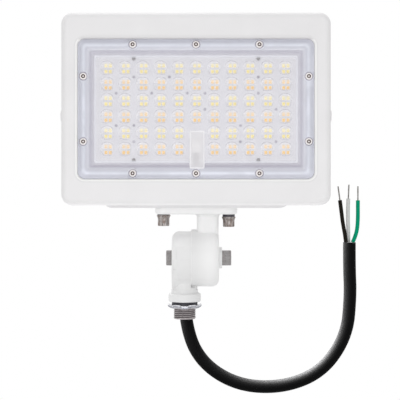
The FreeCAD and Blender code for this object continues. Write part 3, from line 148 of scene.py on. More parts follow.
class FLOOD_PG_sizes(bpy.types.PropertyGroup):
    """Sizes of the pieces that replace plain solids."""

    flange: size("Flange thickness", "Thickness of the cover's flat rim", 0.003)
    bead_inset: size("Bead inset", "From the cover's edge to the middle of its bead", 0.0056)
    bead_width: size("Bead width", "Width of the cover's bead", 0.0104)
    bead_rise: size("Bead rise", "Height of the bead above the rim", 0.002)
    boss_radius: size("Boss radius", "Radius of the swelling round each cover screw", 0.0049)
    screw_inset: size("Screw inset", "From the cover's edge to its screws", 0.0052)
    screw_head: size("Screw head radius", "Radius of a cover screw's head", 0.0032)
    screw_socket: size("Screw socket radius", "Radius of the recess in a cover screw's head", 0.0018)
    counterbore: size("Screw seat", "Depth of a cover screw's seat below the bead's crest", 0.001)
    screw_shank: size("Screw shank radius", "Radius of a cover screw's shank", 0.0014)
    board_screw_x: size("Board screw across", "From the head's middle across to a board screw", 0.0585)
    board_screw_z: size("Board screw up", "From the head's middle up to a board screw", 0.0476)
    board_screw_head: size("Board screw head", "Radius of a board screw's head", 0.0017)
    lens_corner: size("Cover corner", "Corner radius of the cover", 0.0066)
    plate_inset: size("Plate inset", "From the cover's edge to the sunk plate", 0.01515)
    # The plate's pale border is a painted highlight along its edge, drawn by the cover's veil
    plate_border: size("Plate border", "Width of the plate's pale border", 0.0017)
    plate_back: size("Plate wall", "From the cover's edge to the wall behind the plate", 0.01265)
    plate_thickness: size("Plate thickness", "Thickness of the sunk plate", 0.0025)
    screw_pitch: size("Screw pitch", "Between the cover's screws along its long sides", 0.0591)
    screw_side_pitch: size("Side screw pitch", "Between the cover's screws along its short sides", 0.0609)
    dome_width: size("Dome width", "Width of one dome", 0.0131)
    dome_height: size("Dome height", "Height of one dome up the plate", 0.0134)
    dome_rise: size("Dome rise", "Height of one dome above the plate", 0.004)
    dome_pitch: size("Dome pitch", "Between dome columns", 0.01668)
    dome_row: size("Dome row", "Between dome rows", 0.0152)
    dome_lift: size("Dome lift", "From the head's middle up to the middle of the domes", 0.0008)
    block_width: size("Wire block width", "Width of the raised block over the board's wires", 0.0140)
    block_height: size("Wire block height", "Height of the raised block over the board's wires", 0.0355)
    block_drop: size("Wire block drop", "From the cover's middle down to the block's middle", 0.038)
    block_shift: size("Wire block shift", "From the cover's middle across to the block's middle", 0.001)
    block_rise: size("Wire block rise", "Height of the block above the plate", 0.005)
    chip: size("Emitter width", "Width of one emitter", 0.0033)
    chip_height: size("Emitter height", "Height of one emitter up the board", 0.0038)
    chip_rise: size("Emitter rise", "Height of one emitter above the board", 0.0007)
    chip_pitch: size("Emitter pitch", "Between a dome's two emitters across", 0.0041)
    chip_row: size("Emitter row", "Between a dome's two emitters up", 0.0057)
    chip_shift: size("Emitter shift", "From a dome's middle across to the middle of its emitters", 0.0009)
    chip_drop: size("Emitter drop", "From a dome's middle down to the middle of its emitters", 0.0006)
    pad_radius: size("Pad radius", "Radius of a round pad on the board", 0.0014)
    bolt_flange: size("Bolt flange", "Radius of a bracket bolt's flange", 0.0066)
    bolt_shank: size("Bolt shank", "Radius of a bracket bolt's shank", 0.00317)
    bolt_flats: size("Bolt flats", "Across the flats of a bracket bolt's head", 0.0096)
    left_washer: size("Left washer", "Thickness of the left bolt's washer", 0.0008)
    pivot_head: size("Pivot head", "Thickness of the pivot bolt's head", 0.0055)
    pivot_shank: size("Pivot shank", "Radius of the pivot bolt's shank", 0.0046)
    split_place: size("Split place", "From the nipple's axis across to the knuckle's split", 0.0062)
    split_gap: size("Split gap", "Gap between the knuckle's halves", 0.0004)
    ring_inner: size("Split ring bore", "Inside radius of the ring in the knuckle's split", 0.0225)
    ring_outer: size("Split ring radius", "Outside radius of the ring in the knuckle's split", 0.0268)
    disc_radius: size("Upper disc radius", "Radius of the upper knuckle's disc", 0.0274)
    lower_disc: size("Lower disc radius", "Radius of the lower knuckle's disc", 0.0255)
    neck_radius: size("Neck radius", "Radius of the lower knuckle's neck", 0.0122)
    neck_top: size("Neck top", "Height of the neck's top above the nipple's thread", 0.0205)
    pad_half: size("Neck pad reach", "From the tilt axis's plane to the neck pad's front", 0.006)
    seal_lip: size("Bracket seal lip", "Width of the lip round the bracket's gasket", 0.0032)
    seal_corner: size("Bracket seal corner", "Corner radius of the lip round the bracket's gasket", 0.0087)
    thread_radius: size("Thread radius", "Outside radius of the nipple's thread", 0.01067)
    thread_pitch: size("Thread pitch", "Pitch of the nipple's thread", 0.001814)
    thread_depth: size("Thread depth", "Depth of the nipple's thread", 0.0009)
    shank_radius: size("Shank radius", "Radius of the nipple inside its locknut", 0.0102)
    spigot_radius: size("Spigot radius", "Radius of the nipple inside the collar", 0.0096)
    spigot_length: size("Spigot length", "Length of the nipple inside the collar", 0.007)
    bore_radius: size("Bore radius", "Radius of the nipple's bore", 0.0079)
    nut_radius: size("Locknut radius", "Radius of the locknut between its lugs", 0.0139)
    nut_bore: size("Locknut bore", "Radius of the locknut's bore", 0.0103)
    nut_sheet: size("Locknut thickness", "Thickness of the locknut at its bore", 0.0029)
    cord_radius: size("Cord radius", "Radius of the cord's jacket", 0.00613)
    wire_radius: size("Wire radius", "Radius of each insulated wire", 0.0019)
    strand_radius: size("Bundle radius", "Radius of each bundle of bare strands", 0.0007)
    strand_length: size("Bundle length", "Length of each bundle of bare strands", 0.0135)


class FLOOD_PG_finish(bpy.types.PropertyGroup):
    """Colours of the finishes."""

    paint: colour("Paint", "White powder coat of the head", 234, 233, 234)
    # The knuckles' paints are copies of the head's white coat: the upper knuckle's is set lighter, painted
    # light for its bright zone under the head, and the lower knuckle's and rear lid's a little darker,
    # painted shade
    knuckle: colour("Upper knuckle paint", "White powder coat of the upper knuckle", 242, 242, 242)
    lower: colour("Lower knuckle paint", "White powder coat of the lower knuckle and rear lid", 230, 230, 230)
    # The window lip's colour is a painted highlight, lighter than the head's paint; the top lip's colour is
    # painted shade for the upper edge, which faces down
    lip: colour("Window lip", "Smooth edge of the window", 244, 244, 243)
    lip_top_shade: colour("Window lip, top", "Upper edge of the window, which faces down", 222, 221, 222)
    cover: colour("Cover", "Clear moulded cover's faint tint", 233, 236, 247)
    # The cover's shade colour is painted shade, in its folds, in rings round its screws and on the domes'
    # rims and lower crescents
    cover_painted_shade: colour("Cover shade", "Deeper tone in the cover's folds", 178, 175, 190)
    # The domes' pale tone is a painted highlight in their upper crescents and a painted reflection over the
    # upper emitters, where their veil shows it
    dome: colour("Dome", "Moulded domes", 253, 252, 254)
    block: colour("Wire block", "Raised block over the board's wires", 228, 226, 229)
    block_edge: colour("Wire block edge", "Wall round the raised block", 247, 246, 249)
    gasket: colour("Gasket", "Silicone gaskets", 206, 206, 218)
    seal: colour("White seals", "White silicone at the bracket and the knuckle", 246, 246, 246)
    # The screw socket's dark colour is painted shade in the socket
    socket: colour("Screw socket", "Dark recess of the cover's screws", 78, 36, 18)
    screw: colour("Cover screw", "Pale plated cover screws", 246, 242, 241)
    board: colour("Board", "White solder mask", 224, 222, 227)
    package: colour("Emitter case", "White case of each emitter", 248, 246, 244)
    cool: colour("Cool emitter", "Phosphor of the cooler rows", 255, 234, 146)
    warm: colour("Warm emitter", "Phosphor of the warmer rows", 255, 207, 124)
    pad: colour("Pad", "Tinned pads on the board", 194, 190, 200)
    steel: colour("Steel", "Plated steel fasteners", 202, 195, 192)
    washer: colour("Dark steel", "Dark lock washers", 78, 74, 82)
    pivot: colour("Pivot steel", "Pivot bolt and nut, and the board's screws", 170, 167, 167)
    zinc: colour("Zinc", "Bright plated locknut", 251, 251, 254)
    # The locknut's edge colour is painted shade on its outer edge, deepest underneath
    zinc_edge_shade: colour("Zinc edge", "Darker edge of the locknut", 104, 106, 118)
    thread: colour("Thread", "Grey cast nipple", 196, 189, 190)
    # The thread's root colour is painted shade in the grooves, so that the ridges show
    thread_root_shade: colour("Thread root", "Dark roots of the nipple's thread", 70, 64, 66)
    rubber: colour("Rubber", "Dark rubber seal", 56, 55, 62)
    jacket: colour("Jacket", "Black cord jacket", 5, 5, 6)
    wire_black: colour("Black wire", "Insulation of the black wire", 27, 23, 18)
    wire_white: colour("White wire", "Insulation of the white wire", 212, 212, 211)
    wire_green: colour("Green wire", "Insulation of the green wire", 0, 148, 110)
    strand: colour("Strand", "Tinned copper strands", 172, 170, 168)
    plastic: colour("Black plastic", "Driver and switch cases", 34, 34, 36)


# Surfaces as arrays


def grid_faces(rows, columns):
    """Quads of a grid of points numbered row by row, whose last column joins the first.

    Each quad joins a point, the next one along, and the two beside them in the next row.
    """
    row = np.arange(rows - 1)[:, None] * columns
    column = np.arange(columns)[None, :]
    after = (column + 1) % columns
    corners = [row + column, row + after, row + columns + after, row + columns + column]
    return np.stack(corners, axis=-1).reshape(-1, 4)


def end_caps(rows, columns):
    """The flat faces that close the first and the last row of a grid of points."""
    loop = np.arange(columns)
    return np.stack([loop[::-1], (rows - 1) * columns + loop])


def surface(points, capped=True):
    """Rows of points as one list with the faces that join them, and a flat face at each end if capped."""
    rows, columns = points.shape[:2]
    caps = [end_caps(rows, columns)] if capped else []
    return points.reshape(-1, 3), [grid_faces(rows, columns), *caps]


def full_turn(count):
    """Evenly spaced angles of one whole turn."""
    return np.linspace(0, 2 * np.pi, count, endpoint=False)


def about_z(radius, turn, height):
    """Points at a radius from the Z axis, a turn about it and a height."""
    across, aside = radius * np.cos(turn), radius * np.sin(turn)
    return np.stack([across, aside, height + 0 * across], axis=-1)


def rounded_loops(half_width, half_height, corner, arc_steps, side_steps):
    """Points round rectangles with rounded corners, one row for each, anticlockwise from the right.

    Each corner is an arc about a centre that lies one corner radius in from both sides. Each side is divided
    evenly between its two arcs. side_steps gives the points on a level side and on an upright one.
    """
    signs = ((1, 1), (-1, 1), (-1, -1), (1, -1))
    wide, high = half_width - corner, half_height - corner
    centres = [np.stack([x * wide, z * high], axis=-1) for x, z in signs]
    parts = []
    for quarter, centre in enumerate(centres):
        turn = (quarter + np.linspace(0, 1, arc_steps + 1)) * np.pi / 2
        around = np.stack([np.cos(turn), np.sin(turn)], axis=-1)
        arc = centre[:, None] + corner[:, None, None] * around
        ahead = centres[(quarter + 1) % len(centres)]
        if arc_steps:
            ahead = ahead + corner[:, None] * around[-1]
        share = np.linspace(0, 1, side_steps[quarter % 2] + 2)[1:-1, None]
        side = arc[:, -1:] + (ahead[:, None] - arc[:, -1:]) * share
        parts += [arc, side]
    return np.concatenate(parts, axis=1)


def frame_sweep(half_width, half_height, corner, profile, arc_steps=0, side_steps=(0, 0)):
    """A profile of (inset, distance ahead) carried round a rounded rectangle, with a flat face at each end.

    The profile starts at the back, goes outwards, forwards and back in, so that the faces point outwards. The
    corner radius shrinks with the inset, down to a least share of itself.
    """
    shrink, least_share = 0.6, 0.25
    inset, ahead = np.array(profile).T
    round_off = np.maximum(corner - shrink * inset, least_share * corner)
    loops = rounded_loops(half_width - inset, half_height - inset, round_off, arc_steps, side_steps)
    depth = np.broadcast_to(-ahead[:, None], loops.shape[:2])
    return surface(np.stack([loops[..., 0], depth, loops[..., 1]], axis=-1))


def repeated(points, faces, places):
    """Copies a shape to each place, and numbers its faces on."""
    count = len(points)
    places = np.asarray(places, dtype=float)
    spread = (places[:, None] + points[None]).reshape(-1, 3)
    shift = np.arange(len(places)) * count
    copies = [(shift[:, None, None] + np.asarray(same)[None]).reshape(-1, len(same[0])) for same in faces]
    return spread, copies


def lathe(profile, turns):
    """A profile of (radius, height) carried round the Z axis: rows of points, and each column's angle."""
    radius, height = np.array(profile).T[..., None]
    angle = full_turn(turns)
    return about_z(radius, angle, height), angle


def lathe_ahead(profile, turns):
    """A profile of (radius, distance ahead) carried round an axis along -Y, with a flat face at each end."""
    ring, _ = lathe(profile, turns)
    return surface(np.stack([ring[..., 0], -ring[..., 2], ring[..., 1]], axis=-1))


def place_object(name, data):
    """A new object with its data, in the scene."""
    made = bpy.data.objects.new(name, data)
    bpy.context.scene.collection.objects.link(made)
    return made


def make_piece(name, body, slot, points, faces, materials, replaces=(), sharp=35.0, indices=None):
    """Puts a surface into a mesh object that rides on a body and stands for its solids."""
    mesh = bpy.data.meshes.new(name)
    corners = [face for same in faces for face in np.asarray(same).tolist()]
    mesh.from_pydata(np.asarray(points, dtype=float).tolist(), [], corners)
    mesh.polygons.foreach_set("use_smooth", np.ones(len(mesh.polygons), dtype=bool))
    if indices is not None:
        mesh.polygons.foreach_set("material_index", indices)
    mesh.set_sharp_from_angle(angle=math.radians(sharp))
    mesh.update()
    for material in materials:
        mesh.materials.append(material)
    piece = place_object(name, mesh)
    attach(piece, body)
    if replaces:
        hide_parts(*replaces)
    return piece


def set_colours(mesh, name, values):
    """Keeps one colour for each point of a mesh, for its material."""
    layer = mesh.attributes.new(name, "FLOAT_COLOR", "POINT")
    whole = np.hstack([values, np.ones((len(values), 1))])
    layer.data.foreach_set("color", whole.astype(np.float32).ravel())


def blend(share, first, second):
    """Mixes two colours by an array of shares, one colour for each share."""
    return np.outer(1 - share, first) + np.outer(share, second)


def set_values(mesh, name, values):
    """Keeps one number for each point of a mesh, for its material."""
    layer = mesh.attributes.new(name, "FLOAT", "POINT")
    layer.data.foreach_set("value", np.asarray(values, dtype=np.float32))


def head_place(x, z, ahead):
    """A point of the head from its middle and its distance ahead."""
    return (HEAD_X + x, -ahead, HEAD_Z + z)


def head_places(x, z, ahead):
    """Points of the head from their places about its middle, all at one distance ahead."""
    return np.stack([HEAD_X + x, np.full(len(x), -ahead), HEAD_Z + z], axis=-1)


def smooth_step(value, low, high):
    """Rises from 0 at low to 1 at high on a curve that is level at both ends."""
    share = np.clip((value - low) / (high - low), 0, 1)
    return share * share * (3 - 2 * share)


def screw_places(sizes):
    """The cover's ten screws, from the head's middle."""
    side = LENS_HALF[0] - sizes.screw_inset
    top = LENS_HALF[1] - sizes.screw_inset
    rows = [(i * sizes.screw_pitch, level * top) for i in (-1, 0, 1) for level in (1, -1)]
    ends = [(i * side, level * sizes.screw_side_pitch / 2) for i in (-1, 1) for level in (1, -1)]
    return np.array(rows + ends)


def dome_places(sizes):
    """Each dome's row and its place from the head's middle.

    The wire block takes the middle of the lowest rows.
    """
    row, column = np.meshgrid(np.arange(DOME_ROWS), np.arange(DOME_COLUMNS), indexing="ij")
    kept = ~((row >= DOME_ROWS_FULL) & (column == DOME_COLUMNS // 2))
    x = (column[kept] - (DOME_COLUMNS - 1) / 2) * sizes.dome_pitch
    z = ((DOME_ROWS - 1) / 2 - row[kept]) * sizes.dome_row + sizes.dome_lift
    return row[kept], x, z


# Node groups that several finishes share

FINISH_OUTPUTS = (
    ("Color", "NodeSocketColor"),
    ("Roughness", "NodeSocketFloat"),
    ("Height", "NodeSocketFloat"),
)


def group_tree(name, inputs, outputs):
    """An empty shader group with named sockets, and its input and output nodes."""
    tree = bpy.data.node_groups.new(name, "ShaderNodeTree")
    for label, kind, default in inputs:
        socket = tree.interface.new_socket(label, in_out="INPUT", socket_type=kind)
        if default is not None:
            socket.default_value = default
    for label, kind in outputs:
        tree.interface.new_socket(label, in_out="OUTPUT", socket_type=kind)
    return tree, tree.nodes.new("NodeGroupInput"), tree.nodes.new("NodeGroupOutput")


def feed(tree, value, socket):
    """Gives a socket a number, a colour of three numbers or another node's output."""
    if isinstance(value, bpy.types.NodeSocket):
        tree.links.new(value, socket)
    else:
        socket.default_value = value if isinstance(value, (int, float)) else (*value, 1.0)


def set_inputs(tree, node, **values):
    """Feeds a node's inputs by their labels, with an underscore for each space."""
    for label, value in values.items():
        feed(tree, value, node.inputs[label.replace("_", " ")])


def noise(tree, vector, scale, detail=3.0, roughness=0.55):
    """A noise texture whose scale may be a number or another node's output."""
    node = tree.nodes.new("ShaderNodeTexNoise")
    set_inputs(tree, node, Vector=vector, Scale=scale, Detail=detail, Roughness=roughness)
    return node.outputs["Fac"]


def remap(tree, value, low, high, from_low=0.3, from_high=0.7):
    """Maps a value's middle range onto a new range; the ends may be numbers or outputs."""
    node = tree.nodes.new("ShaderNodeMapRange")
    set_inputs(tree, node, Value=value, From_Min=from_low, From_Max=from_high, To_Min=low, To_Max=high)
    return node.outputs["Result"]


def arithmetic(tree, operation, first, second):
    """A Math node; each side may be a number or an output."""
    node = tree.nodes.new("ShaderNodeMath")
    node.operation = operation
    for end, socket in zip((first, second), node.inputs):
        feed(tree, end, socket)
    return node.outputs["Value"]


def mixed(tree, share, first, second, mode="MIX"):
    """A colour mix; the share and either colour may be values or outputs.

    The Mix node has sockets of one name for each kind of value, so those for colour are found by place.
    """
    share_place, first_place, second_place, result_place = 0, 6, 7, 2
    node = tree.nodes.new("ShaderNodeMix")
    node.data_type = "RGBA"
    node.blend_type = mode
    for end, place in ((share, share_place), (first, first_place), (second, second_place)):
        feed(tree, end, node.inputs[place])
    return node.outputs[result_place]


def split_axes(tree, vector):
    """The X, Y and Z of a vector, as a Separate node's outputs."""
    node = tree.nodes.new("ShaderNodeSeparateXYZ")
    set_inputs(tree, node, Vector=vector)
    return node.outputs


def mottle_group():
    """Uneven tone: a colour darkened a little in soft patches, with a fine grain of roughness and height."""
    inputs = [
        ("Vector", "NodeSocketVector", None),
        ("Color", "NodeSocketColor", None),
        ("Spread", "NodeSocketFloat", 0.03),
        ("Patch scale", "NodeSocketFloat", 30.0),
        ("Grain scale", "NodeSocketFloat", 1200.0),
        ("Rough low", "NodeSocketFloat", 0.35),
        ("Rough high", "NodeSocketFloat", 0.5),
    ]
    tree, source, sink = group_tree("Mottle", inputs, FINISH_OUTPUTS)
    take = source.outputs
    patch = noise(tree, take["Vector"], take["Patch scale"])
    grain = noise(tree, take["Vector"], take["Grain scale"], detail=2.0)
    share = arithmetic(tree, "MULTIPLY", remap(tree, patch, 0.0, 1.0), take["Spread"])
    set_inputs(
        tree, sink, Color=mixed(tree, share, take["Color"], (0.0, 0.0, 0.0)),
        Roughness=remap(tree, grain, take["Rough low"], take["Rough high"]), Height=grain,
    )
    return tree


def plating_group():
    """Plated metal: fine streaks along one axis over cloudy patches that lean towards a second colour."""
    inputs = [
        ("Vector", "NodeSocketVector", None),
        ("Color", "NodeSocketColor", None),
        ("Tarnish", "NodeSocketColor", None),
        ("Amount", "NodeSocketFloat", 0.4),
        ("Streak", "NodeSocketFloat", 0.78),
        ("Rough low", "NodeSocketFloat", 0.25),
        ("Rough high", "NodeSocketFloat", 0.45),
    ]
    tree, source, sink = group_tree("Plating", inputs, FINISH_OUTPUTS)
    take = source.outputs
    streak_scale, streak_stretch, cloud_scale = 1400.0, (1.0, 1.0, 0.12), 260.0
    cloud_low, cloud_high = 0.4, 0.65
    stretch = tree.nodes.new("ShaderNodeMapping")
    stretch.inputs["Scale"].default_value = streak_stretch
    set_inputs(tree, stretch, Vector=take["Vector"])
    streak = noise(tree, stretch.outputs["Vector"], streak_scale, detail=4.0)
    cloud = noise(tree, take["Vector"], cloud_scale, detail=2.0)
    clouded = remap(tree, cloud, 0.0, 1.0, cloud_low, cloud_high)
    share = arithmetic(tree, "MULTIPLY", clouded, take["Amount"])
    toned = mixed(tree, share, take["Color"], take["Tarnish"])
    dark = remap(tree, streak, take["Streak"], 1.0)
    set_inputs(
        tree, sink, Color=mixed(tree, 1.0, toned, dark, "MULTIPLY"),
        Roughness=remap(tree, streak, take["Rough low"], take["Rough high"]), Height=streak,
    )
    return tree


def frame_group():
    """Distance from a rounded rectangle in X and Z about the origin: positive outside it."""
    inputs = [
        ("Vector", "NodeSocketVector", None),
        ("Half width", "NodeSocketFloat", 0.1),
        ("Half height", "NodeSocketFloat", 0.1),
        ("Corner", "NodeSocketFloat", 0.01),
    ]
    tree, source, sink = group_tree("Frame distance", inputs, [("Distance", "NodeSocketFloat")])
    take = source.outputs
    place = split_axes(tree, take["Vector"])
    past = []
    for axis, half in (("X", "Half width"), ("Z", "Half height")):
        away = arithmetic(tree, "ABSOLUTE", place[axis], 0.0)
        flat = arithmetic(tree, "SUBTRACT", take[half], take["Corner"])
        past.append(arithmetic(tree, "SUBTRACT", away, flat))
    outside = [arithmetic(tree, "POWER", arithmetic(tree, "MAXIMUM", side, 0.0), 2.0) for side in past]
    corner = arithmetic(tree, "SQRT", arithmetic(tree, "ADD", *outside), 0.0)
    inside = arithmetic(tree, "MINIMUM", arithmetic(tree, "MAXIMUM", *past), 0.0)
    reach = arithmetic(tree, "ADD", corner, inside)
    set_inputs(tree, sink, Distance=arithmetic(tree, "SUBTRACT", reach, take["Corner"]))
    return tree


# Finishes

POWDER_COAT = {"Spread": 0.03, "Grain_scale": 900.0, "Rough_low": 0.38, "Rough_high": 0.5}
POWDER_BUMP = {"strength": 0.25, "height": 0.00006}
PHOSPHOR = {
    "Spread": 0.04, "Patch_scale": 500.0, "Grain_scale": 6000.0, "Rough_low": 0.5, "Rough_high": 0.7,
}
INSULATION = {
    "Spread": 0.08, "Patch_scale": 300.0, "Rough_low": 0.3, "Rough_high": 0.42,
    "height": 0.00005, "gloss": 0.06,
}
SILICONE = {"Rough_low": 0.5, "Rough_high": 0.65}

# Moulded, coated and plated finishes by the colour that they take: the material's name and its settings
MOULDED = {
    "seal": ("White silicone", {"Spread": 0.04, **SILICONE}),
    "gasket": ("Silicone gasket", {"Spread": 0.08, **SILICONE}),
    "board": ("White solder mask", {
        "Spread": 0.05, "Patch_scale": 120.0, "Rough_low": 0.4, "Rough_high": 0.55,
    }),
    "package": ("Emitter case", {"Spread": 0.04, "Rough_low": 0.45, "Rough_high": 0.6}),
    "cool": ("Cool phosphor", PHOSPHOR),
    "warm": ("Warm phosphor", PHOSPHOR),
    "rubber": ("Dark rubber", {"Spread": 0.15, "Rough_low": 0.55, "Rough_high": 0.75}),
    "jacket": ("Cord jacket", {
        "Spread": 0.2, "Patch_scale": 200.0, "Grain_scale": 1500.0, "Rough_low": 0.64, "Rough_high": 0.66,
        "height": 0.00001, "strength": 0.02, "ior": 1.15,
    }),
    "plastic": ("Black plastic", {"Spread": 0.15, "Rough_low": 0.45, "Rough_high": 0.6}),
    "wire_black": ("Black insulation", INSULATION),
    "wire_white": ("White insulation", INSULATION),
    "wire_green": ("Green insulation", INSULATION),
}
PLATED = {
    "pad": ("Tinned pad", {"metallic": 0.3, "Tarnish": srgb(110, 106, 112)}),
    "steel": ("Plated steel", {"metallic": 0.4, "Tarnish": srgb(128, 104, 92), "Amount": 0.9, "Streak": 0.2}),
    "washer": ("Dark plated steel", {"metallic": 0.5, "Tarnish": srgb(50, 46, 52)}),
    "pivot": ("Pivot steel", {"metallic": 0.4, "Tarnish": srgb(126, 118, 116), "Streak": 0.7}),
    "strand": ("Tinned strand", {"metallic": 0.9, "Tarnish": srgb(120, 112, 104), "Amount": 0.5}),
}

# Plated finishes with painted shade in their recesses: the material's name, the colour of that painted shade
# and its settings
RECESS_SHADED = {
    "screw": ("Pale socket screw", "socket", {
        "metallic": 0.1, "Tarnish": srgb(214, 206, 206), "Amount": 0.2, "Streak": 0.94,
    }),
    "zinc": ("Bright zinc", "zinc_edge_shade", {
        "metallic": 0.6, "Tarnish": srgb(168, 168, 178), "Amount": 0.3, "Streak": 0.9,
        "Rough_low": 0.14, "Rough_high": 0.24,
    }),
    "thread": ("Grey cast thread", "thread_root_shade", {
        "metallic": 0.3, "Tarnish": srgb(128, 120, 122), "Rough_low": 0.4, "Rough_high": 0.55,
    }),
}


def new_finish(name):
    """A material with a Principled shader, and its tree, shader and Object coordinates."""
    material = bpy.data.materials.new(name)
    material.use_nodes = True
    tree = material.node_tree
    shader = next(node for node in tree.nodes if node.type == "BSDF_PRINCIPLED")
    where = tree.nodes.new("ShaderNodeTexCoord").outputs["Object"]
    return material, tree, shader, where


def place_group(tree, group, where, **values):
    """Places a shared group in a material and sets its inputs."""
    node = tree.nodes.new("ShaderNodeGroup")
    node.node_tree = group
    set_inputs(tree, node, Vector=where, **values)
    return node.outputs


def bump(tree, shader, relief, strength, height):
    """Feeds a relief of a given full height to the shader's normal."""
    node = tree.nodes.new("ShaderNodeBump")
    set_inputs(tree, node, Strength=strength, Distance=height, Height=relief)
    set_inputs(tree, shader, Normal=node.outputs["Normal"])


def coated_finish(
    name, group, base, metallic=0.0, height=0.0002, strength=0.25, gloss=0.5, ior=1.5, **values
):
    """A finish whose colour, roughness and bump come from one shared group."""
    material, tree, shader, where = new_finish(name)
    made = place_group(tree, group, where, Color=base, **values)
    set_inputs(
        tree, shader, Base_Color=made["Color"], Roughness=made["Roughness"], Metallic=metallic,
        Specular_IOR_Level=gloss, IOR=ior,
    )
    bump(tree, shader, made["Height"], strength, height)
    return material


def housing_finish(mottle, distance, finish):
    """The head's powder coat, with a painted highlight on the lip round the window, painted shade along the
    lip's top edge and a fine line of painted shade outside it.

    The lip and the line follow the distance from the window, and painted shade darkens the coat towards the
    head's outline.
    """
    window_play, window_corner, outline_corner = 0.0004, 0.007, 0.01
    lip_from, lip_to = 0.0015, 0.0019
    line_full, line_fades, line_ends = 0.0021, 0.0024, 0.0036
    edge_shade_from, edge_shade_to = -0.006, -0.0025
    painted_shade_share, painted_shade_grey = 0.1, (0.3, 0.3, 0.3)
    top_band = 0.001
    material, tree, shader, where = new_finish("White powder coat, head")
    made = place_group(tree, mottle, where, Color=finish.paint, **POWDER_COAT)
    mapping = tree.nodes.new("ShaderNodeMapping")
    mapping.inputs["Location"].default_value = (-HEAD_X, 0.0, -HEAD_Z)
    set_inputs(tree, mapping, Vector=where)
    centred = mapping.outputs["Vector"]
    window = place_group(
        tree, distance, centred,
        Half_width=LENS_HALF[0] + window_play, Half_height=LENS_HALF[1] + window_play, Corner=window_corner,
    )["Distance"]
    # Mask of the lip's painted highlight
    lip = remap(tree, window, 1.0, 0.0, lip_from, lip_to)
    # Mask of a fine line of painted shade just outside the lip
    line = remap(tree, window, 0.0, 1.0, lip_from, line_full)
    line = arithmetic(tree, "MULTIPLY", line, remap(tree, window, 1.0, 0.0, line_fades, line_ends))
    outline = place_group(
        tree, distance, centred, Half_width=HEAD_HALF[0], Half_height=HEAD_HALF[1], Corner=outline_corner
    )["Distance"]
    # Painted shade towards the head's outline, where its rounded edge turns away from the light
    edge = remap(tree, outline, 0.0, 1.0, edge_shade_from, edge_shade_to)
    line_shade, edge_shade = (arithmetic(tree, "MULTIPLY", part, painted_shade_share) for part in (line, edge))
    dark = arithmetic(tree, "ADD", line_shade, edge_shade)
    coat_with_shade = mixed(tree, dark, made["Color"], painted_shade_grey)
    # Painted shade on the lip along the window's top edge, painted highlight on the rest of the lip
    height = split_axes(tree, centred)["Z"]
    along_top = remap(tree, height, 0.0, 1.0, LENS_HALF[1] - top_band, LENS_HALF[1])
    lip_light_and_shade = mixed(tree, along_top, finish.lip, finish.lip_top_shade)
    set_inputs(tree, shader, Base_Color=mixed(tree, lip, coat_with_shade, lip_light_and_shade), Roughness=made["Roughness"])
    bump(tree, shader, made["Height"], **POWDER_BUMP)
    return material


def knuckle_finish(mottle, finish, sizes):
    """The upper knuckle's powder coat, with painted shade on its disc towards the split from the lower half.
    """
    shade_full_to, shade_clear_from, disc_fade = 0.004, 0.016, 0.006
    painted_shade_share, painted_shade_grey = 0.2, (0.4, 0.4, 0.4)
    material, tree, shader, where = new_finish("White powder coat, upper knuckle")
    made = place_group(tree, mottle, where, Color=finish.knuckle, **POWDER_COAT)
    place = split_axes(tree, where)
    split = sizes.split_place
    # Painted shade on the disc near the split, fading out towards the disc's top
    near = remap(tree, place["X"], 1.0, 0.0, split + shade_full_to, split + shade_clear_from)
    top = PIVOT_Z + sizes.disc_radius
    disc = remap(tree, place["Z"], 1.0, 0.0, top - disc_fade, top)
    share = arithmetic(tree, "MULTIPLY", arithmetic(tree, "MULTIPLY", near, disc), painted_shade_share)
    coat_with_split_shade = mixed(tree, share, made["Color"], painted_shade_grey)
    set_inputs(tree, shader, Base_Color=coat_with_split_shade, Roughness=made["Roughness"])
    bump(tree, shader, made["Height"], **POWDER_BUMP)
    return material


def attribute(tree, name):
    """The outputs of a value or colour that the surface keeps for each point."""
    node = tree.nodes.new("ShaderNodeAttribute")
    node.attribute_name = name
    return node.outputs


def recess_shaded_finish(name, plating, base, deep, metallic, **values):
    """A plated finish that goes over to a colour of painted shade where the surface is marked as recessed."""
    gloss, bump_strength, bump_height = 0.3, 0.2, 0.0001
    material, tree, shader, where = new_finish(name)
    made = place_group(tree, plating, where, Color=base, **values)
    recess = attribute(tree, "recess")["Fac"]
    set_inputs(
        tree, shader, Base_Color=mixed(tree, recess, made["Color"], deep), Roughness=made["Roughness"],
        Metallic=metallic, Specular_IOR_Level=gloss,
    )
    bump(tree, shader, made["Height"], bump_strength, bump_height)
    return material


def clear_finish(mottle):
    """The moulded cover: a faint veil over what is behind it, from its front only.

    The surface says how dense the veil is and what tone it has.
    """
    index = 1.7
    material, tree, shader, where = new_finish("Clear moulded cover")
    tone = attribute(tree, "tone")["Color"]
    made = place_group(
        tree, mottle, where, Color=tone, Spread=0.05, Patch_scale=60.0, Rough_low=0.08, Rough_high=0.16
    )
    veil = attribute(tree, "veil")["Fac"]
    behind = tree.nodes.new("ShaderNodeNewGeometry").outputs["Backfacing"]
    front = arithmetic(tree, "SUBTRACT", 1.0, behind)
    set_inputs(
        tree, shader, Base_Color=made["Color"], Roughness=made["Roughness"], IOR=index,
        Alpha=arithmetic(tree, "MULTIPLY", veil, front),
    )
    return material


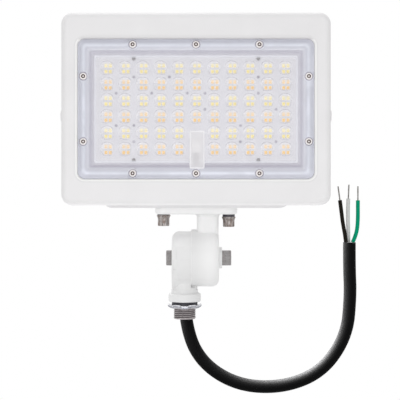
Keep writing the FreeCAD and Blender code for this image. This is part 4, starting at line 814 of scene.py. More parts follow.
def make_finishes(finish, sizes):
    """Every finish of the light, by name."""
    mottle = mottle_group()
    plating = plating_group()
    made = {
        "housing": housing_finish(mottle, frame_group(), finish),
        "paint": coated_finish("White powder coat", mottle, finish.lower, **POWDER_BUMP, **POWDER_COAT),
        "knuckle": knuckle_finish(mottle, finish, sizes),
        "cover": clear_finish(mottle),
    }
    for group, finishes in ((mottle, MOULDED), (plating, PLATED)):
        for key, (name, settings) in finishes.items():
            made[key] = coated_finish(name, group, getattr(finish, key), **settings)
    for key, (name, deep, settings) in RECESS_SHADED.items():
        made[key] = recess_shaded_finish(name, plating, getattr(finish, key), getattr(finish, deep), **settings)
    return made


FINISHES = {}

NODE_FINISHES = {
    "housing": ("housing",),
    "paint": ("driver_cover", "knuckle_lower"),
    "knuckle": ("knuckle_upper",),
    "gasket": ("lens_gasket", "driver_cover_gasket", "selector_plug"),
    "seal": ("bracket_gasket",),
    "board": ("led_board",),
    "package": ("board_connector", "selector_knob"),
    "plastic": ("driver", "selector_switch"),
    "rubber": ("nipple_seal", "cord_bushing"),
    "steel": ("driver_cover_screws", "driver_screws"),
    "washer": ("bracket_washers",),
    "wire_black": ("board_leads", "lower_leads", "upper_leads"),
}


class FLOOD_OT_finishes(bpy.types.Operator):
    """Makes every finish and gives the carried-over solids theirs"""

    bl_idname = "flood.finishes"
    bl_label = "Finishes"

    def execute(self, context):
        FINISHES.update(make_finishes(context.scene.flood_finish, context.scene.flood_sizes))
        for name, nodes in NODE_FINISHES.items():
            for node in nodes:
                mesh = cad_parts[node].data
                mesh.materials.clear()
                mesh.materials.append(FINISHES[name])
        return {"FINISHED"}


class FLOOD_OT_camera(bpy.types.Operator):
    """Sets the camera straight in front, at the photograph's distance and framing"""

    bl_idname = "flood.camera"
    bl_label = "Camera"

    def execute(self, context):
        distance = 1.209
        across = 0.0147
        height = 0.1220
        view_width = 0.3848
        view_middle = 0.1042
        camera = bpy.data.cameras.new("Front camera")
        camera.sensor_fit = "HORIZONTAL"
        camera.angle = 2 * math.atan(view_width / 2 / distance)
        camera.shift_y = (view_middle - height) / view_width
        holder = place_object("Front camera", camera)
        holder.location = (across, -distance, height)
        holder.rotation_euler = (math.pi / 2, 0, 0)
        context.scene.camera = holder
        return {"FINISHED"}


def make_curve(name, route, radius, finish):
    """A smooth NURBS line along a route, with a round section."""
    curve = bpy.data.curves.new(name, "CURVE")
    curve.dimensions = "3D"
    curve.bevel_depth = radius
    curve.bevel_resolution = 14
    curve.resolution_u = 24
    curve.use_fill_caps = True
    line = curve.splines.new("NURBS")
    line.points.add(len(route) - 1)
    line.points.foreach_set("co", np.hstack([np.array(route), np.ones((len(route), 1))]).ravel())
    line.order_u = 3
    line.use_endpoint_u = True
    curve.materials.append(FINISHES[finish])
    piece = place_object(name, curve)
    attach(piece, "base")
    return piece


def curve_length(piece):
    """The length of a curve's own line."""
    bare = piece.data.copy()
    bare.bevel_depth = 0
    holder = bpy.data.objects.new("measure", bare)
    line = holder.to_mesh()
    points = np.zeros(len(line.vertices) * 3)
    line.vertices.foreach_get("co", points)
    length = np.linalg.norm(np.diff(points.reshape(-1, 3), axis=0), axis=1).sum()
    holder.to_mesh_clear()
    bpy.data.objects.remove(holder)
    bpy.data.curves.remove(bare)
    return float(length)


def strand_bundle(start, heading, radius, length):
    """Six bare strands twisted about a straight middle one, each a tube round its own helix.

    A strand's line makes most of a turn about the bundle's axis in its length, and its tube is a circle
    square to the bundle. A strand's radius is a third of the bundle's.
    """
    rings, sides, twist = 25, 8, 0.8
    thin = radius / 3
    heading = np.array(heading) / np.linalg.norm(heading)
    across = np.cross(heading, (0.0, 1.0, 0.0))
    across /= np.linalg.norm(across)
    aside = np.cross(heading, across)
    along = np.linspace(0, 1, rings)
    turn, first = full_turn(sides), full_turn(STRAND_COUNT)
    middle = np.zeros((1, rings))
    angle = np.concatenate([middle, first[:, None] + 2 * np.pi * twist * along])
    off = np.concatenate([middle, np.full((STRAND_COUNT, rings), 2 * thin)])
    wide = (off * np.cos(angle))[..., None] + thin * np.cos(turn)
    deep = (off * np.sin(angle))[..., None] + thin * np.sin(turn)
    run = np.broadcast_to((along * length)[None, :, None], wide.shape)
    points = np.array(start) + wide[..., None] * across + deep[..., None] * aside + run[..., None] * heading
    shift = np.arange(len(wide))[:, None, None] * rings * sides
    _, shapes = surface(points[0])
    return points.reshape(-1, 3), [(shift + same).reshape(-1, same.shape[-1]) for same in shapes]


class FLOOD_OT_cords(bpy.types.Operator):
    """Hangs the supply cord and its three stripped wires"""

    bl_idname = "flood.cords"
    bl_label = "Cord and wires"

    def execute(self, context):
        sizes = context.scene.flood_sizes
        cord = make_curve("supply_cord_jacket", CORD_ROUTE, sizes.cord_radius, "jacket")
        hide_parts("supply_cord")
        curve_length(cord)
        for name, route in WIRE_ROUTES.items():
            wire = make_curve("insulated_wire_" + name, route, sizes.wire_radius, "wire_" + name)
            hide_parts("wire_" + name)
            heading = np.subtract(route[-1], route[-2])
            bundle = strand_bundle(route[-1], heading, sizes.strand_radius, sizes.strand_length)
            strands = make_piece(
                "bare_strands_" + name, "base", "tinned_copper", *bundle, [FINISHES["strand"]],
                replaces=("wire_strands",), sharp=60.0,
            )
            curve_length(wire)
        return {"FINISHED"}


# How far the clear cover's edges are rounded off
COVER_EDGE = 0.0003


def cover_levels(sizes):
    """How far ahead the cover's rim and its plate lie, and the inset where the slope between them starts."""
    rim = LENS_AHEAD - sizes.bead_rise
    plate = LENS_BACK + sizes.plate_thickness
    return rim, plate, sizes.plate_inset - (rim - plate)


def cover_profile(sizes):
    """The cover's section as (inset, distance ahead), from its back round the rim and bead to the sunk plate.

    Ahead of the rim the bead follows a squared cosine of the distance from its middle line.
    """
    bead_steps, flat_steps = 25, 5
    edge = COVER_EDGE
    rim, plate, slope = cover_levels(sizes)
    under = rim - sizes.flange
    half = sizes.bead_width / 2
    bead = np.linspace(sizes.bead_inset - half, sizes.bead_inset + half, bead_steps)
    rise = sizes.bead_rise * np.cos(np.pi * (bead - sizes.bead_inset) / sizes.bead_width) ** 2
    flat = np.linspace(bead[-1], slope, flat_steps)[1:]
    return [
        (sizes.plate_inset + edge, LENS_BACK),
        (sizes.plate_back, LENS_BACK),
        (sizes.plate_back, under),
        (0.0, under),
        (0.0, rim - edge),
        (edge, rim),
        *zip(bead, rim + rise),
        *zip(flat, np.full(flat.size, rim)),
        (sizes.plate_inset - 2 * edge, plate + 2 * edge),
        (sizes.plate_inset - edge, plate + edge),
        (sizes.plate_inset + edge, plate),
        (sizes.plate_inset + sizes.plate_border, plate),
        (sizes.plate_inset + sizes.plate_border + edge, plate),
    ]


def cover_veil(sizes, inset, ahead):
    """How much each point of the cover hides: most on the rim and bead, little on the plate, none behind."""
    dense, sloped, border_highlight, thin = 0.82, 0.5, 0.4, 0.16
    rim, plate, slope = cover_levels(sizes)
    border = sizes.plate_inset + sizes.plate_border
    # The plate's border keeps more of the pale veil than the plate: a painted highlight along the plate's
    # edge
    places = [slope, sizes.plate_inset, border, border + COVER_EDGE]
    faded = np.interp(inset, places, [dense, sloped, border_highlight, thin])
    veil = np.where(ahead < rim - 2 * COVER_EDGE, 0.0, dense)
    veil = np.where(inset > slope, faded, veil)
    return np.where(ahead < plate - COVER_EDGE, 0.0, veil)


def cover_painted_shade(sizes, points, inset, away, boss, on_top):
    """How deep each point's painted shade is: in the folds beside the bead and in a thin ring round each
    screw.

    The painted shade in the folds is deeper below the window and lighter beside it, with the change along the
    corners' mitres. It fades on the screws' swellings and on the plate.
    """
    outer_width, inner_width, fold_width, mitre = 0.0032, 0.0026, 0.003, 0.004
    outer_shade, inner_shade, fold_shade, lean = 0.38, 0.4, 0.48, 0.1
    slope_share, boss_share, ring_shade = 0.5, 0.7, 1.2
    ring_reach = (-0.0002, 0.0003, 0.0005, 0.0012)
    ring_from, ring_full, ring_fades, ring_ends = (sizes.screw_head + past for past in ring_reach)
    _, _, slope = cover_levels(sizes)
    crest = sizes.bead_inset
    outer = 1 - smooth_step(inset, crest - outer_width, crest)
    inner = smooth_step(inset, crest, crest + inner_width)
    fold = smooth_step(inset, slope - fold_width, slope)
    fold = fold * (1 - slope_share * smooth_step(inset, slope + COVER_EDGE, sizes.plate_inset))
    ring = smooth_step(away, ring_from, ring_full) * (1 - smooth_step(away, ring_fades, ring_ends))
    above_edge = points[:, 2] + LENS_HALF[1]
    below_edge = LENS_HALF[1] - points[:, 2]
    beside_edge = LENS_HALF[0] - np.abs(points[:, 0])
    below = smooth_step(beside_edge - above_edge, -mitre, mitre)
    beside = smooth_step(np.minimum(above_edge, below_edge) - beside_edge, -mitre, mitre)
    folds = (outer_shade - lean * beside) * outer + (inner_shade + lean * below) * inner
    folds = (folds + (fold_shade + lean * below) * fold) * (1 - boss_share * boss)
    shade = np.maximum(folds, np.where(on_top, ring_shade * ring, 0))
    return shade * (1 - smooth_step(inset, sizes.plate_inset - COVER_EDGE, sizes.plate_inset + COVER_EDGE))


def cover_shell(sizes):
    """The cover's profile carried round, with a swelling at each screw, and each point's veil and depth of
    painted shade.

    A swelling is a low plateau that falls off smoothly at its radius. The higher of it and the bead is kept,
    and the screw's own seat is sunk into it.
    """
    corner_steps, side_steps = 8, (320, 184)
    boss_foot, boss_top = 0.0008, 0.0006
    seat_foot, seat_floor = 0.0007, 0.0001
    rim, _, _ = cover_levels(sizes)
    profile = cover_profile(sizes)
    points, faces = frame_sweep(*LENS_HALF, sizes.lens_corner, profile, corner_steps, side_steps)
    ahead = -points[:, 1]
    away = np.linalg.norm(points[:, None, ::2] - screw_places(sizes)[None], axis=-1).min(axis=1)
    boss = smooth_step(-away, -sizes.boss_radius - boss_foot, -sizes.boss_radius + boss_top)
    seat = smooth_step(-away, -sizes.screw_head - seat_foot, -sizes.screw_head - seat_floor)
    on_top = ahead > rim - COVER_EDGE / 2
    front = np.maximum(ahead, rim + sizes.bead_rise * boss)
    front = front + (LENS_AHEAD - sizes.counterbore - front) * seat
    points[:, 1] = np.where(on_top, -front, points[:, 1])
    inset = np.repeat([place for place, _ in profile], len(points) // len(profile))
    veil = cover_veil(sizes, inset, ahead)
    shade = cover_painted_shade(sizes, points, inset, away, boss, on_top)
    return points, faces, veil, shade


def dome_shape(sizes):
    """One dome: a rounded square that is squarer below, drawn in to its crown as an ellipsoid is.

    Round the outline the reach is that of a superellipse whose power is higher below the middle. Its rings
    draw in by a power of their number, so that they crowd at the rim, and the rise is what makes an ellipse
    with the reach. Each point's share of the full reach comes back too, for the finish.
    """
    sides, rings, crowding = 32, 10, 1.8
    power_above, power_below = 2.3, 2.8
    sunk = 0.0001
    turn = full_turn(sides)
    share = 1 - np.linspace(0, 1, rings)[:-1] ** crowding
    power = np.where(np.sin(turn) > 0, power_above, power_below)
    reach = (np.abs(np.cos(turn)) ** power + np.abs(np.sin(turn)) ** power) ** (-1 / power)
    x = sizes.dome_width / 2 * share[:, None] * reach * np.cos(turn)
    z = sizes.dome_height / 2 * share[:, None] * reach * np.sin(turn)
    y = -sizes.dome_rise * np.sqrt(1 - share**2)[:, None] * np.ones(sides)
    points = np.stack([x, y, z], axis=-1)
    base = points[:1] + (0, sunk, 0)
    loops = np.concatenate([base, points])
    rows, columns = loops.shape[:2]
    crown = np.array([[0.0, -sizes.dome_rise, 0.0]])
    first, last = end_caps(rows, columns)
    fan = np.stack([last, np.roll(last, -1), np.full(columns, rows * columns)], axis=-1)
    faces = [grid_faces(rows, columns), fan, first[None]]
    spread = np.append(np.repeat(np.append(1.0, share), columns), 0.0)
    return np.concatenate([loops.reshape(-1, 3), crown]), faces, spread


def dome_look(sizes, dome, spread):
    """One dome's veil and depth of painted shade, from each point's height and its share of the full reach.

    A line of painted shade runs round the rim above and below. Inside it lie a pale crescent above, a painted
    highlight, and a dusky one below, painted shade; a faint pale veil over the upper emitters is a painted
    reflection. The face on the plate is clear.
    """
    rim_band, crescent_band, middle_band = (0.87, 0.94), (0.66, 0.8), (0.62, 0.8)
    line_above, line_below, below_share = (0.35, 0.75), (0.55, 0.85), 0.8
    crescent_range, dusk_range, upper_range = (-0.3, 0.1), (0.1, 0.5), (-0.05, 0.25)
    least, shade_line_veil, highlight_veil, shade_veil, reflection_veil = 0.03, 0.34, 0.36, 0.3, 0.3
    dusk_shade_share = 0.7
    height = dome[:, 2] / (sizes.dome_height / 2)
    rim = smooth_step(spread, *rim_band)
    line = rim * (smooth_step(height, *line_above) + below_share * smooth_step(-height, *line_below))
    band = smooth_step(spread, *crescent_band) * (1 - rim)
    crescent = band * smooth_step(height, *crescent_range)
    dusk = band * smooth_step(-height, *dusk_range)
    upper = smooth_step(height, *upper_range) * (1 - smooth_step(spread, *middle_band))
    veil = least + shade_line_veil * line + highlight_veil * crescent + shade_veil * dusk + reflection_veil * upper
    return np.where(dome[:, 1] > 0, 0.0, veil), np.clip(line + dusk_shade_share * dusk, 0, 1)


def wire_block(sizes):
    """The block over the board's wires, a wall round a sunk top, and which of its points are on the wall."""
    corner, corner_steps, side_steps = 0.0015, 4, (2, 2)
    sunk, bevel, wall, slant, well = 0.0001, 0.0004, 0.0012, 0.0003, 0.0006
    _, plate, _ = cover_levels(sizes)
    top = plate + sizes.block_rise
    profile = [
        (0.0, plate - sunk),
        (0.0, top - bevel),
        (bevel, top),
        (wall, top),
        (wall + slant, top - well),
        (wall + 2 * slant, top - well),
    ]
    halves = (sizes.block_width / 2, sizes.block_height / 2)
    points, faces = frame_sweep(*halves, corner, profile, corner_steps, side_steps)
    raised = np.repeat([inset <= wall for inset, _ in profile], len(points) // len(profile))
    return points + head_place(sizes.block_shift, -sizes.block_drop, 0), faces, raised


class FLOOD_OT_lens_cover(bpy.types.Operator):
    """Moulds the clear cover with its bead, plate, domes and wire block"""

    bl_idname = "flood.lens_cover"
    bl_label = "Lens cover"

    def execute(self, context):
        sizes, finish = context.scene.flood_sizes, context.scene.flood_finish
        block_veil = 0.8
        shell, shell_faces, shell_veil, shell_shade = cover_shell(sizes)
        shell = shell + head_place(0, 0, 0)
        dome, dome_faces, spread = dome_shape(sizes)
        dome_veil, dome_shade = dome_look(sizes, dome, spread)
        _, x, z = dome_places(sizes)
        _, plate, _ = cover_levels(sizes)
        domes, domes_faces = repeated(dome, dome_faces, head_places(x, z, plate))
        block, block_faces, raised = wire_block(sizes)
        first, second = len(shell), len(shell) + len(domes)
        faces = [
            *shell_faces,
            *[same + first for same in domes_faces],
            *[same + second for same in block_faces],
        ]
        piece = make_piece(
            "clear_cover", "head", "clear_plastic", np.concatenate([shell, domes, block]), faces,
            [FINISHES["cover"]], replaces=("lens_cover",), sharp=50.0,
        )
        piece.visible_shadow = False
        piece.visible_diffuse = False
        veil = np.concatenate([shell_veil, np.tile(dome_veil, len(x)), np.full(len(block), block_veil)])
        # The cover's tint and the domes' pale tone, each mixed with painted shade
        tone = np.concatenate([
            blend(shell_shade, finish.cover, finish.cover_painted_shade),
            np.tile(blend(dome_shade, finish.dome, finish.cover_painted_shade), (len(x), 1)),
            blend(raised, finish.block, finish.block_edge),
        ])
        set_values(piece.data, "veil", veil)
        set_colours(piece.data, "tone", tone)
        return {"FINISHED"}


class FLOOD_OT_board(bpy.types.Operator):
    """Sets the emitters and round pads on the board"""

    bl_idname = "flood.board"
    bl_label = "Emitters and pads"

    def execute(self, context):
        sizes = context.scene.flood_sizes
        lip, top = 0.0001, sizes.chip_rise
        profile = [(0.0, 0.0), (0.0, top - 2 * lip), (lip, top), (2 * lip, top), (3 * lip, top - lip)]
        chip, faces = frame_sweep(sizes.chip / 2, sizes.chip_height / 2, 0.0, profile)
        row, x, z = dome_places(sizes)
        four = [
            (sizes.chip_shift + i * sizes.chip_pitch / 2, level * sizes.chip_row / 2 - sizes.chip_drop)
            for i in (-1, 1) for level in (-1, 1)
        ]
        for name, odd in (("cool", 0), ("warm", 1)):
            kept = row % 2 == odd
            spots = (np.stack([x[kept], z[kept]], axis=-1)[:, None] + np.array(four)[None]).reshape(-1, 2)
            points, copies = repeated(chip, faces, head_places(*spots.T, BOARD_AHEAD))
            fronts = np.tile([0, 1], len(spots))
            indices = np.concatenate([np.zeros(len(copies[0]), dtype=int), fronts])
            make_piece(
                "emitters_" + name, "head", name + "_phosphor", points, copies,
                [FINISHES["package"], FINISHES[name]], replaces=("led_chips_" + name,), indices=indices,
            )
        pad_sides, pad_edge, pad_top, flat_share, half_gap = 16, 0.0002, 0.0003, 0.8, 0.5
        radius = sizes.pad_radius
        profile = [(radius, 0.0), (radius, pad_edge), (flat_share * radius, pad_top)]
        pad, pad_faces = lathe_ahead(profile, pad_sides)
        gaps = np.array(PAD_GAPS) + half_gap
        across = (gaps[:, 0] - (DOME_COLUMNS - 1) / 2) * sizes.dome_pitch
        up = ((DOME_ROWS - 1) / 2 - gaps[:, 1]) * sizes.dome_row
        points, copies = repeated(pad, pad_faces, head_places(across, up, BOARD_AHEAD))
        make_piece("board_pads", "head", "steel", points, copies, [FINISHES["pad"]])
        return {"FINISHED"}


def cover_screw_profile(sizes, back, top):
    """A cover screw's section as (radius, distance ahead, recess): shank, domed head, socket and its pin."""
    head, socket, shank = sizes.screw_head, sizes.screw_socket, sizes.screw_shank
    seat_depth, brim, shoulder, crown, lip = 0.0008, 0.0009, 0.0003, 0.0008, 0.0001
    socket_depth, pin_rim, pin_crown, pin_recess = 0.0012, 0.0004, 0.0003, 0.3
    floor_share, foot_share, rim_share, crown_share = 0.9, 0.58, 0.5, 0.25
    seat, floor = LENS_AHEAD - seat_depth, top - socket_depth
    return [
        (shank, back, 0.0),
        (shank, seat, 0.0),
        (head, seat, 0.0),
        (head, top - brim, 0.0),
        (head - shoulder, top - shoulder, 0.0),
        (head - crown, top, 0.0),
        (socket + lip, top, 0.0),
        (socket, top - lip, 1.0),
        (floor_share * socket, floor, 1.0),
        (foot_share * socket, floor, 1.0),
        (rim_share * socket, top - pin_rim, pin_recess),
        (crown_share * socket, top - pin_crown, 0.0),
    ]


def board_screw_profile(sizes, back, top):
    """A board screw's section as (radius, distance ahead): shank, and bevelled head with a shallow recess."""
    head, bevel = sizes.board_screw_head, 0.0005
    shank_share, crown_share, recess_share, floor_share = 0.6, 0.8, 0.4, 0.36
    return [
        (shank_share * head, back),
        (shank_share * head, BOARD_AHEAD),
        (head, BOARD_AHEAD),
        (head, top - bevel),
        (crown_share * head, top),
        (recess_share * head, top),
        (floor_share * head, top - bevel),
    ]


class FLOOD_OT_screws(bpy.types.Operator):
    """Turns the cover's socket-head screws and the board's small screws"""

    bl_idname = "flood.screws"
    bl_label = "Screws"

    def execute(self, context):
        sizes = context.scene.flood_sizes
        turns = 28
        low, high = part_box("lens_screws")
        profile = cover_screw_profile(sizes, -high.y, -low.y)
        screw, faces = lathe_ahead([place[:2] for place in profile], turns)
        spots = screw_places(sizes)
        points, copies = repeated(screw, faces, head_places(*spots.T, 0))
        piece = make_piece(
            "cover_screws", "head", "steel", points, copies, [FINISHES["screw"]],
            replaces=("lens_screws",), sharp=45.0,
        )
        # Painted shade in each screw's socket, and a little on its pin
        recess = np.tile(np.repeat([place[2] for place in profile], turns), len(spots))
        set_values(piece.data, "recess", recess)
        low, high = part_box("board_screws")
        screw, faces = lathe_ahead(board_screw_profile(sizes, -high.y, -low.y), turns)
        places = [
            head_place(i * sizes.board_screw_x, level * sizes.board_screw_z, 0)
            for i in (-1, 1) for level in (-1, 1)
        ]
        points, copies = repeated(screw, faces, places)
        make_piece(
            "small_board_screws", "head", "steel", points, copies, [FINISHES["pivot"]],
            replaces=("board_screws",), sharp=45.0,
        )
        return {"FINISHED"}


def hex_turning(profile, apothem):
    """A bolt or nut round the Z axis: a hexagon with corners along X, kept between two radii at each height.

    Each row of the profile is (least radius, greatest radius, height), so a flange or shank has both alike,
    a cone that runs into the hexagon gives the least, and a chamfer gives the greatest. The hexagon's reach
    is the apothem over the cosine of the turn from the nearest flat's middle. A profile that ends where it
    starts has no ends to close.
    """
    turns, sixth = 72, np.pi / 3
    least, greatest, height = (np.array(column)[:, None] for column in zip(*profile))
    turn = full_turn(turns)
    reach = apothem / np.cos(turn % sixth - sixth / 2)
    radius = np.clip(reach, least, greatest)
    return surface(about_z(radius, turn, height), capped=profile[0] != profile[-1])


def flange_bolt_profile(sizes, bottom, seat, top):
    """A bracket bolt's rows for hex_turning: chamfered head, cone, flange under the seat, and shank."""
    flange, shank, flat = sizes.bolt_flange, sizes.bolt_shank, sizes.bolt_flats / 2
    end_share, bevel_share, low_share, high_share = 1.06, 1.14, 1.04, 0.92
    bevel, cone_foot, cone_low, cone_high, brim = 0.0005, 0.0046, 0.0036, 0.0018, 0.0009
    free = 2 * flat
    return [
        (flat, end_share * flat, bottom),
        (flat, bevel_share * flat, bottom + bevel),
        (flat, free, bottom + 2 * bevel),
        (flat, free, seat - cone_foot),
        (low_share * flat, free, seat - cone_low),
        (high_share * flange, free, seat - cone_high),
        (flange, flange, seat - brim),
        (flange, flange, seat),
        (shank, shank, seat),
        (shank, shank, top),
    ]


def pivot_bolt_profile(sizes, flat):
    """The pivot bolt's rows for hex_turning: chamfered head, and a shank with a bevelled tip."""
    shank, end_share, chamfer, tip = sizes.pivot_shank, 1.05, 0.0007, 0.0004
    start, end = PIVOT_LOW.x, PIVOT_HIGH.x
    under, free = start + sizes.pivot_head, 2 * flat
    return [
        (flat, end_share * flat, start),
        (flat, free, start + chamfer),
        (flat, free, under),
        (shank, shank, under),
        (shank, shank, end - tip),
        (shank - tip, shank - tip, end),
    ]


def pivot_nut_profile(sizes, flat):
    """The pivot nut's rows for hex_turning: bore, inner chamfer, flats and outer chamfer."""
    play, inner_share, outer_share, inner_chamfer, outer_chamfer = 0.0001, 1.08, 1.05, 0.0005, 0.0009
    low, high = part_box("pivot_nut")
    bore, free = sizes.pivot_shank + play, 2 * flat
    return [
        (bore, bore, high.x),
        (bore, bore, low.x),
        (flat, inner_share * flat, low.x),
        (flat, free, low.x + inner_chamfer),
        (flat, free, high.x - outer_chamfer),
        (flat, outer_share * flat, high.x),
        (bore, bore, high.x),
    ]


class FLOOD_OT_bolts(bpy.types.Operator):
    """Cuts the bracket's flanged bolts and the pivot's bolt and nut"""

    bl_idname = "flood.bolts"
    bl_label = "Bolts"

    def execute(self, context):
        sizes = context.scene.flood_sizes
        left_lift = 0.0008
        low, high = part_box("bracket_bolts")
        washer_low, washer_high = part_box("bracket_washers")
        bolts = (
            (low.x + sizes.bolt_flange, low.z + left_lift, washer_high.z - sizes.left_washer),
            (high.x - sizes.bolt_flange, low.z, washer_low.z),
        )
        points, faces = [], []
        for number, (across, bottom, seat) in enumerate(bolts):
            profile = flange_bolt_profile(sizes, bottom, seat, high.z)
            made, same = hex_turning(profile, sizes.bolt_flats / 2)
            points.append(made + (across, (low.y + high.y) / 2, 0))
            faces += [each + number * len(made) for each in same]
        make_piece(
            "flange_bolts", "head", "steel", np.concatenate(points), faces, [FINISHES["steel"]],
            replaces=("bracket_bolts",), sharp=25.0,
        )
        flat = (PIVOT_HIGH.z - PIVOT_LOW.z) / 2
        for name, node, profile in (
            ("pivot_hex_bolt", "pivot_bolt", pivot_bolt_profile(sizes, flat)),
            ("pivot_hex_nut", "pivot_nut", pivot_nut_profile(sizes, flat)),
        ):
            made, faces = hex_turning(profile, flat)
            lying = np.stack([made[:, 2], -made[:, 0], PIVOT_Z - made[:, 1]], axis=-1)
            make_piece(name, "base", "steel", lying, faces, [FINISHES["pivot"]], replaces=(node,), sharp=25.0)
        return {"FINISHED"}


def split_ring(sizes):
    """A thin flat ring in the knuckle's split: a rectangle carried round the tilt axis."""
    play, turns = 0.00002, 96
    left, right = sizes.split_place + play, sizes.split_place + sizes.split_gap - play
    profile = [
        (sizes.ring_inner, left),
        (sizes.ring_outer, left),
        (sizes.ring_outer, right),
        (sizes.ring_inner, right),
        (sizes.ring_inner, left),
    ]
    ring, _ = lathe(profile, turns)
    return surface(np.stack([ring[..., 2], ring[..., 0], PIVOT_Z + ring[..., 1]], axis=-1), capped=False)


def neck_fill(sizes, left, right, reach, disc_radius):
    """A filling on the neck under a disc: sections across X, flat below and hollowed above to fit the disc.

    Each section is as wide as the neck's circle and the reach allow, and its top is on a circle about the
    tilt axis.
    """
    play, sections, steps = 0.0001, 25, 9
    x = np.linspace(left, right, sections)[:, None]
    half = np.minimum(reach, np.sqrt(sizes.neck_radius**2 - x**2) - play)
    share = np.linspace(-1, 1, steps)
    y = half * np.concatenate([share, share[::-1]])
    top = PIVOT_Z - np.sqrt(disc_radius**2 - y**2)
    z = np.where(np.arange(y.shape[1]) < share.size, sizes.neck_top - play, top)
    return surface(np.stack([x + 0 * y, y, z], axis=-1))


def seal_lip(sizes):
    """The lip round the bracket's gasket: a flat band with a soft edge, carried round a rounded rectangle."""
    low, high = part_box("bracket_gasket")
    lip, soft, play, corner_steps = sizes.seal_lip, 0.0002, 0.00003, 10
    profile = [
        (lip, low.z + play),
        (soft, low.z + play),
        (0.0, low.z + soft),
        (0.0, high.z - soft),
        (soft, high.z - play),
        (lip, high.z - play),
        (lip, low.z + play),
    ]
    inset, height = np.array(profile).T
    half_width, half_depth = (high.x - low.x) / 2 + lip, (high.y - low.y) / 2 + lip
    corner = sizes.seal_corner - inset
    loops = rounded_loops(half_width - inset, half_depth - inset, corner, corner_steps, (0, 0))
    middle = ((low.x + high.x) / 2, (low.y + high.y) / 2)
    level = np.broadcast_to(height[:, None, None], (*loops.shape[:2], 1))
    return surface(np.concatenate([loops + middle, level], axis=-1), capped=False)


class FLOOD_OT_trims(bpy.types.Operator):
    """Fills the knuckle's split and neck and the bracket's joint with their thin white trims"""

    bl_idname = "flood.trims"
    bl_label = "Knuckle and bracket trims"

    def execute(self, context):
        sizes = context.scene.flood_sizes
        play, side_share = 0.0001, 0.98
        side = side_share * sizes.neck_radius
        pad = neck_fill(sizes, sizes.split_place + play, side, sizes.pad_half, sizes.disc_radius + play)
        web_disc = sizes.lower_disc - 2 * play
        web = neck_fill(sizes, -side, sizes.split_place - play, sizes.neck_radius, web_disc)
        for name, body, made in (
            ("knuckle_split_ring", "base", split_ring(sizes)),
            ("knuckle_neck_pad", "base", pad),
            ("bracket_seal_lip", "head", seal_lip(sizes)),
        ):
            make_piece(name, body, "white_plastic", *made, [FINISHES["seal"]])
        make_piece("knuckle_neck_web", "base", "white_paint", *web, [FINISHES["paint"]])
        return {"FINISHED"}


def thread_shape(sizes):
    """The nipple: a closed profile carried round Z, whose outside is cut by a helical groove.

    On the free thread the radius falls by the thread's depth times a triangle wave of the height over the
    pitch less the turn. The wave is cut flat at its crests and roots and fades out at both ends. Above the
    thread come the plain shank and spigot, and the bore inside.
    """
    chamfer, turns, pitch_steps = 0.0007, 96, 10
    wave_gain, wave_drop = 1.15, 0.1
    low, high = NIPPLE_LOW.z, NIPPLE_HIGH.z
    step = sizes.thread_pitch / pitch_steps
    heights = np.arange(low + chamfer, -step / 2, step)
    collar = high - sizes.spigot_length
    profile = [
        (sizes.bore_radius, high),
        (sizes.bore_radius, low),
        (sizes.thread_radius - chamfer, low),
        *[(sizes.thread_radius, height) for height in heights],
        (sizes.thread_radius, 0.0),
        (sizes.shank_radius, 0.0),
        (sizes.shank_radius, collar),
        (sizes.spigot_radius, collar),
        (sizes.spigot_radius, high),
        (sizes.bore_radius, high),
    ]
    points, angle = lathe(profile, turns)
    z = points[..., 2]
    radius = np.hypot(points[..., 0], points[..., 1])
    threaded = np.isclose(radius, sizes.thread_radius)
    phase = (z / sizes.thread_pitch - angle / (2 * np.pi)) % 1
    wave = np.clip(wave_gain * np.abs(2 * phase - 1) - wave_drop, 0, 1)
    fade = smooth_step(z, low + chamfer / 2, low + 2 * chamfer) * smooth_step(-z, 0.0, chamfer)
    cut = np.where(threaded, wave * fade, 0)
    points[..., :2] *= (1 - sizes.thread_depth * cut / radius)[..., None]
    return *surface(points, capped=False), cut.ravel()


def locknut_shape(sizes):
    """The stamped locknut: a ring whose outside swings out and up at each lug, with a rolled edge.

    The outside radius and the lift both follow a smoothed step of the cosine of the lugs' number times the
    turn. The lift grows with the square of the distance from the bore. The last result is how deep the
    painted
    shade on the outer edge is: strong underneath, and faint on top between the lugs.
    """
    turns, steps, roll = 144, 8, 0.0005
    lug_from, lug_to = -0.35, 0.45
    rolled_from, shade_from = 0.99, 0.85
    upper_shade, lower_shade = 0.25, 0.9
    low = NUT_LOW.z
    lift = NUT_HIGH.z - low - sizes.nut_sheet
    turn = full_turn(turns)
    lug = smooth_step(np.cos(LUG_COUNT * turn), lug_from, lug_to)
    outside = sizes.nut_radius + (NUT_HIGH.x - sizes.nut_radius) * lug
    outwards = np.linspace(0, 1, steps)
    across = np.concatenate([outwards[::-1], outwards, outwards[-1:]])[:, None]
    upper = np.concatenate([np.zeros(steps), np.ones(steps), np.zeros(1)])[:, None]
    radius = sizes.nut_bore + (outside - sizes.nut_bore) * across
    rise = low + lift * lug * across**2 + sizes.nut_sheet * upper
    rolled = (across > rolled_from) * roll
    rise = rise + np.where(upper, -rolled, rolled)
    edge = smooth_step(across, shade_from, 1.0) * np.where(upper, upper_shade * (1 - lug), lower_shade)
    return *surface(about_z(radius, turn, rise), capped=False), edge.ravel()


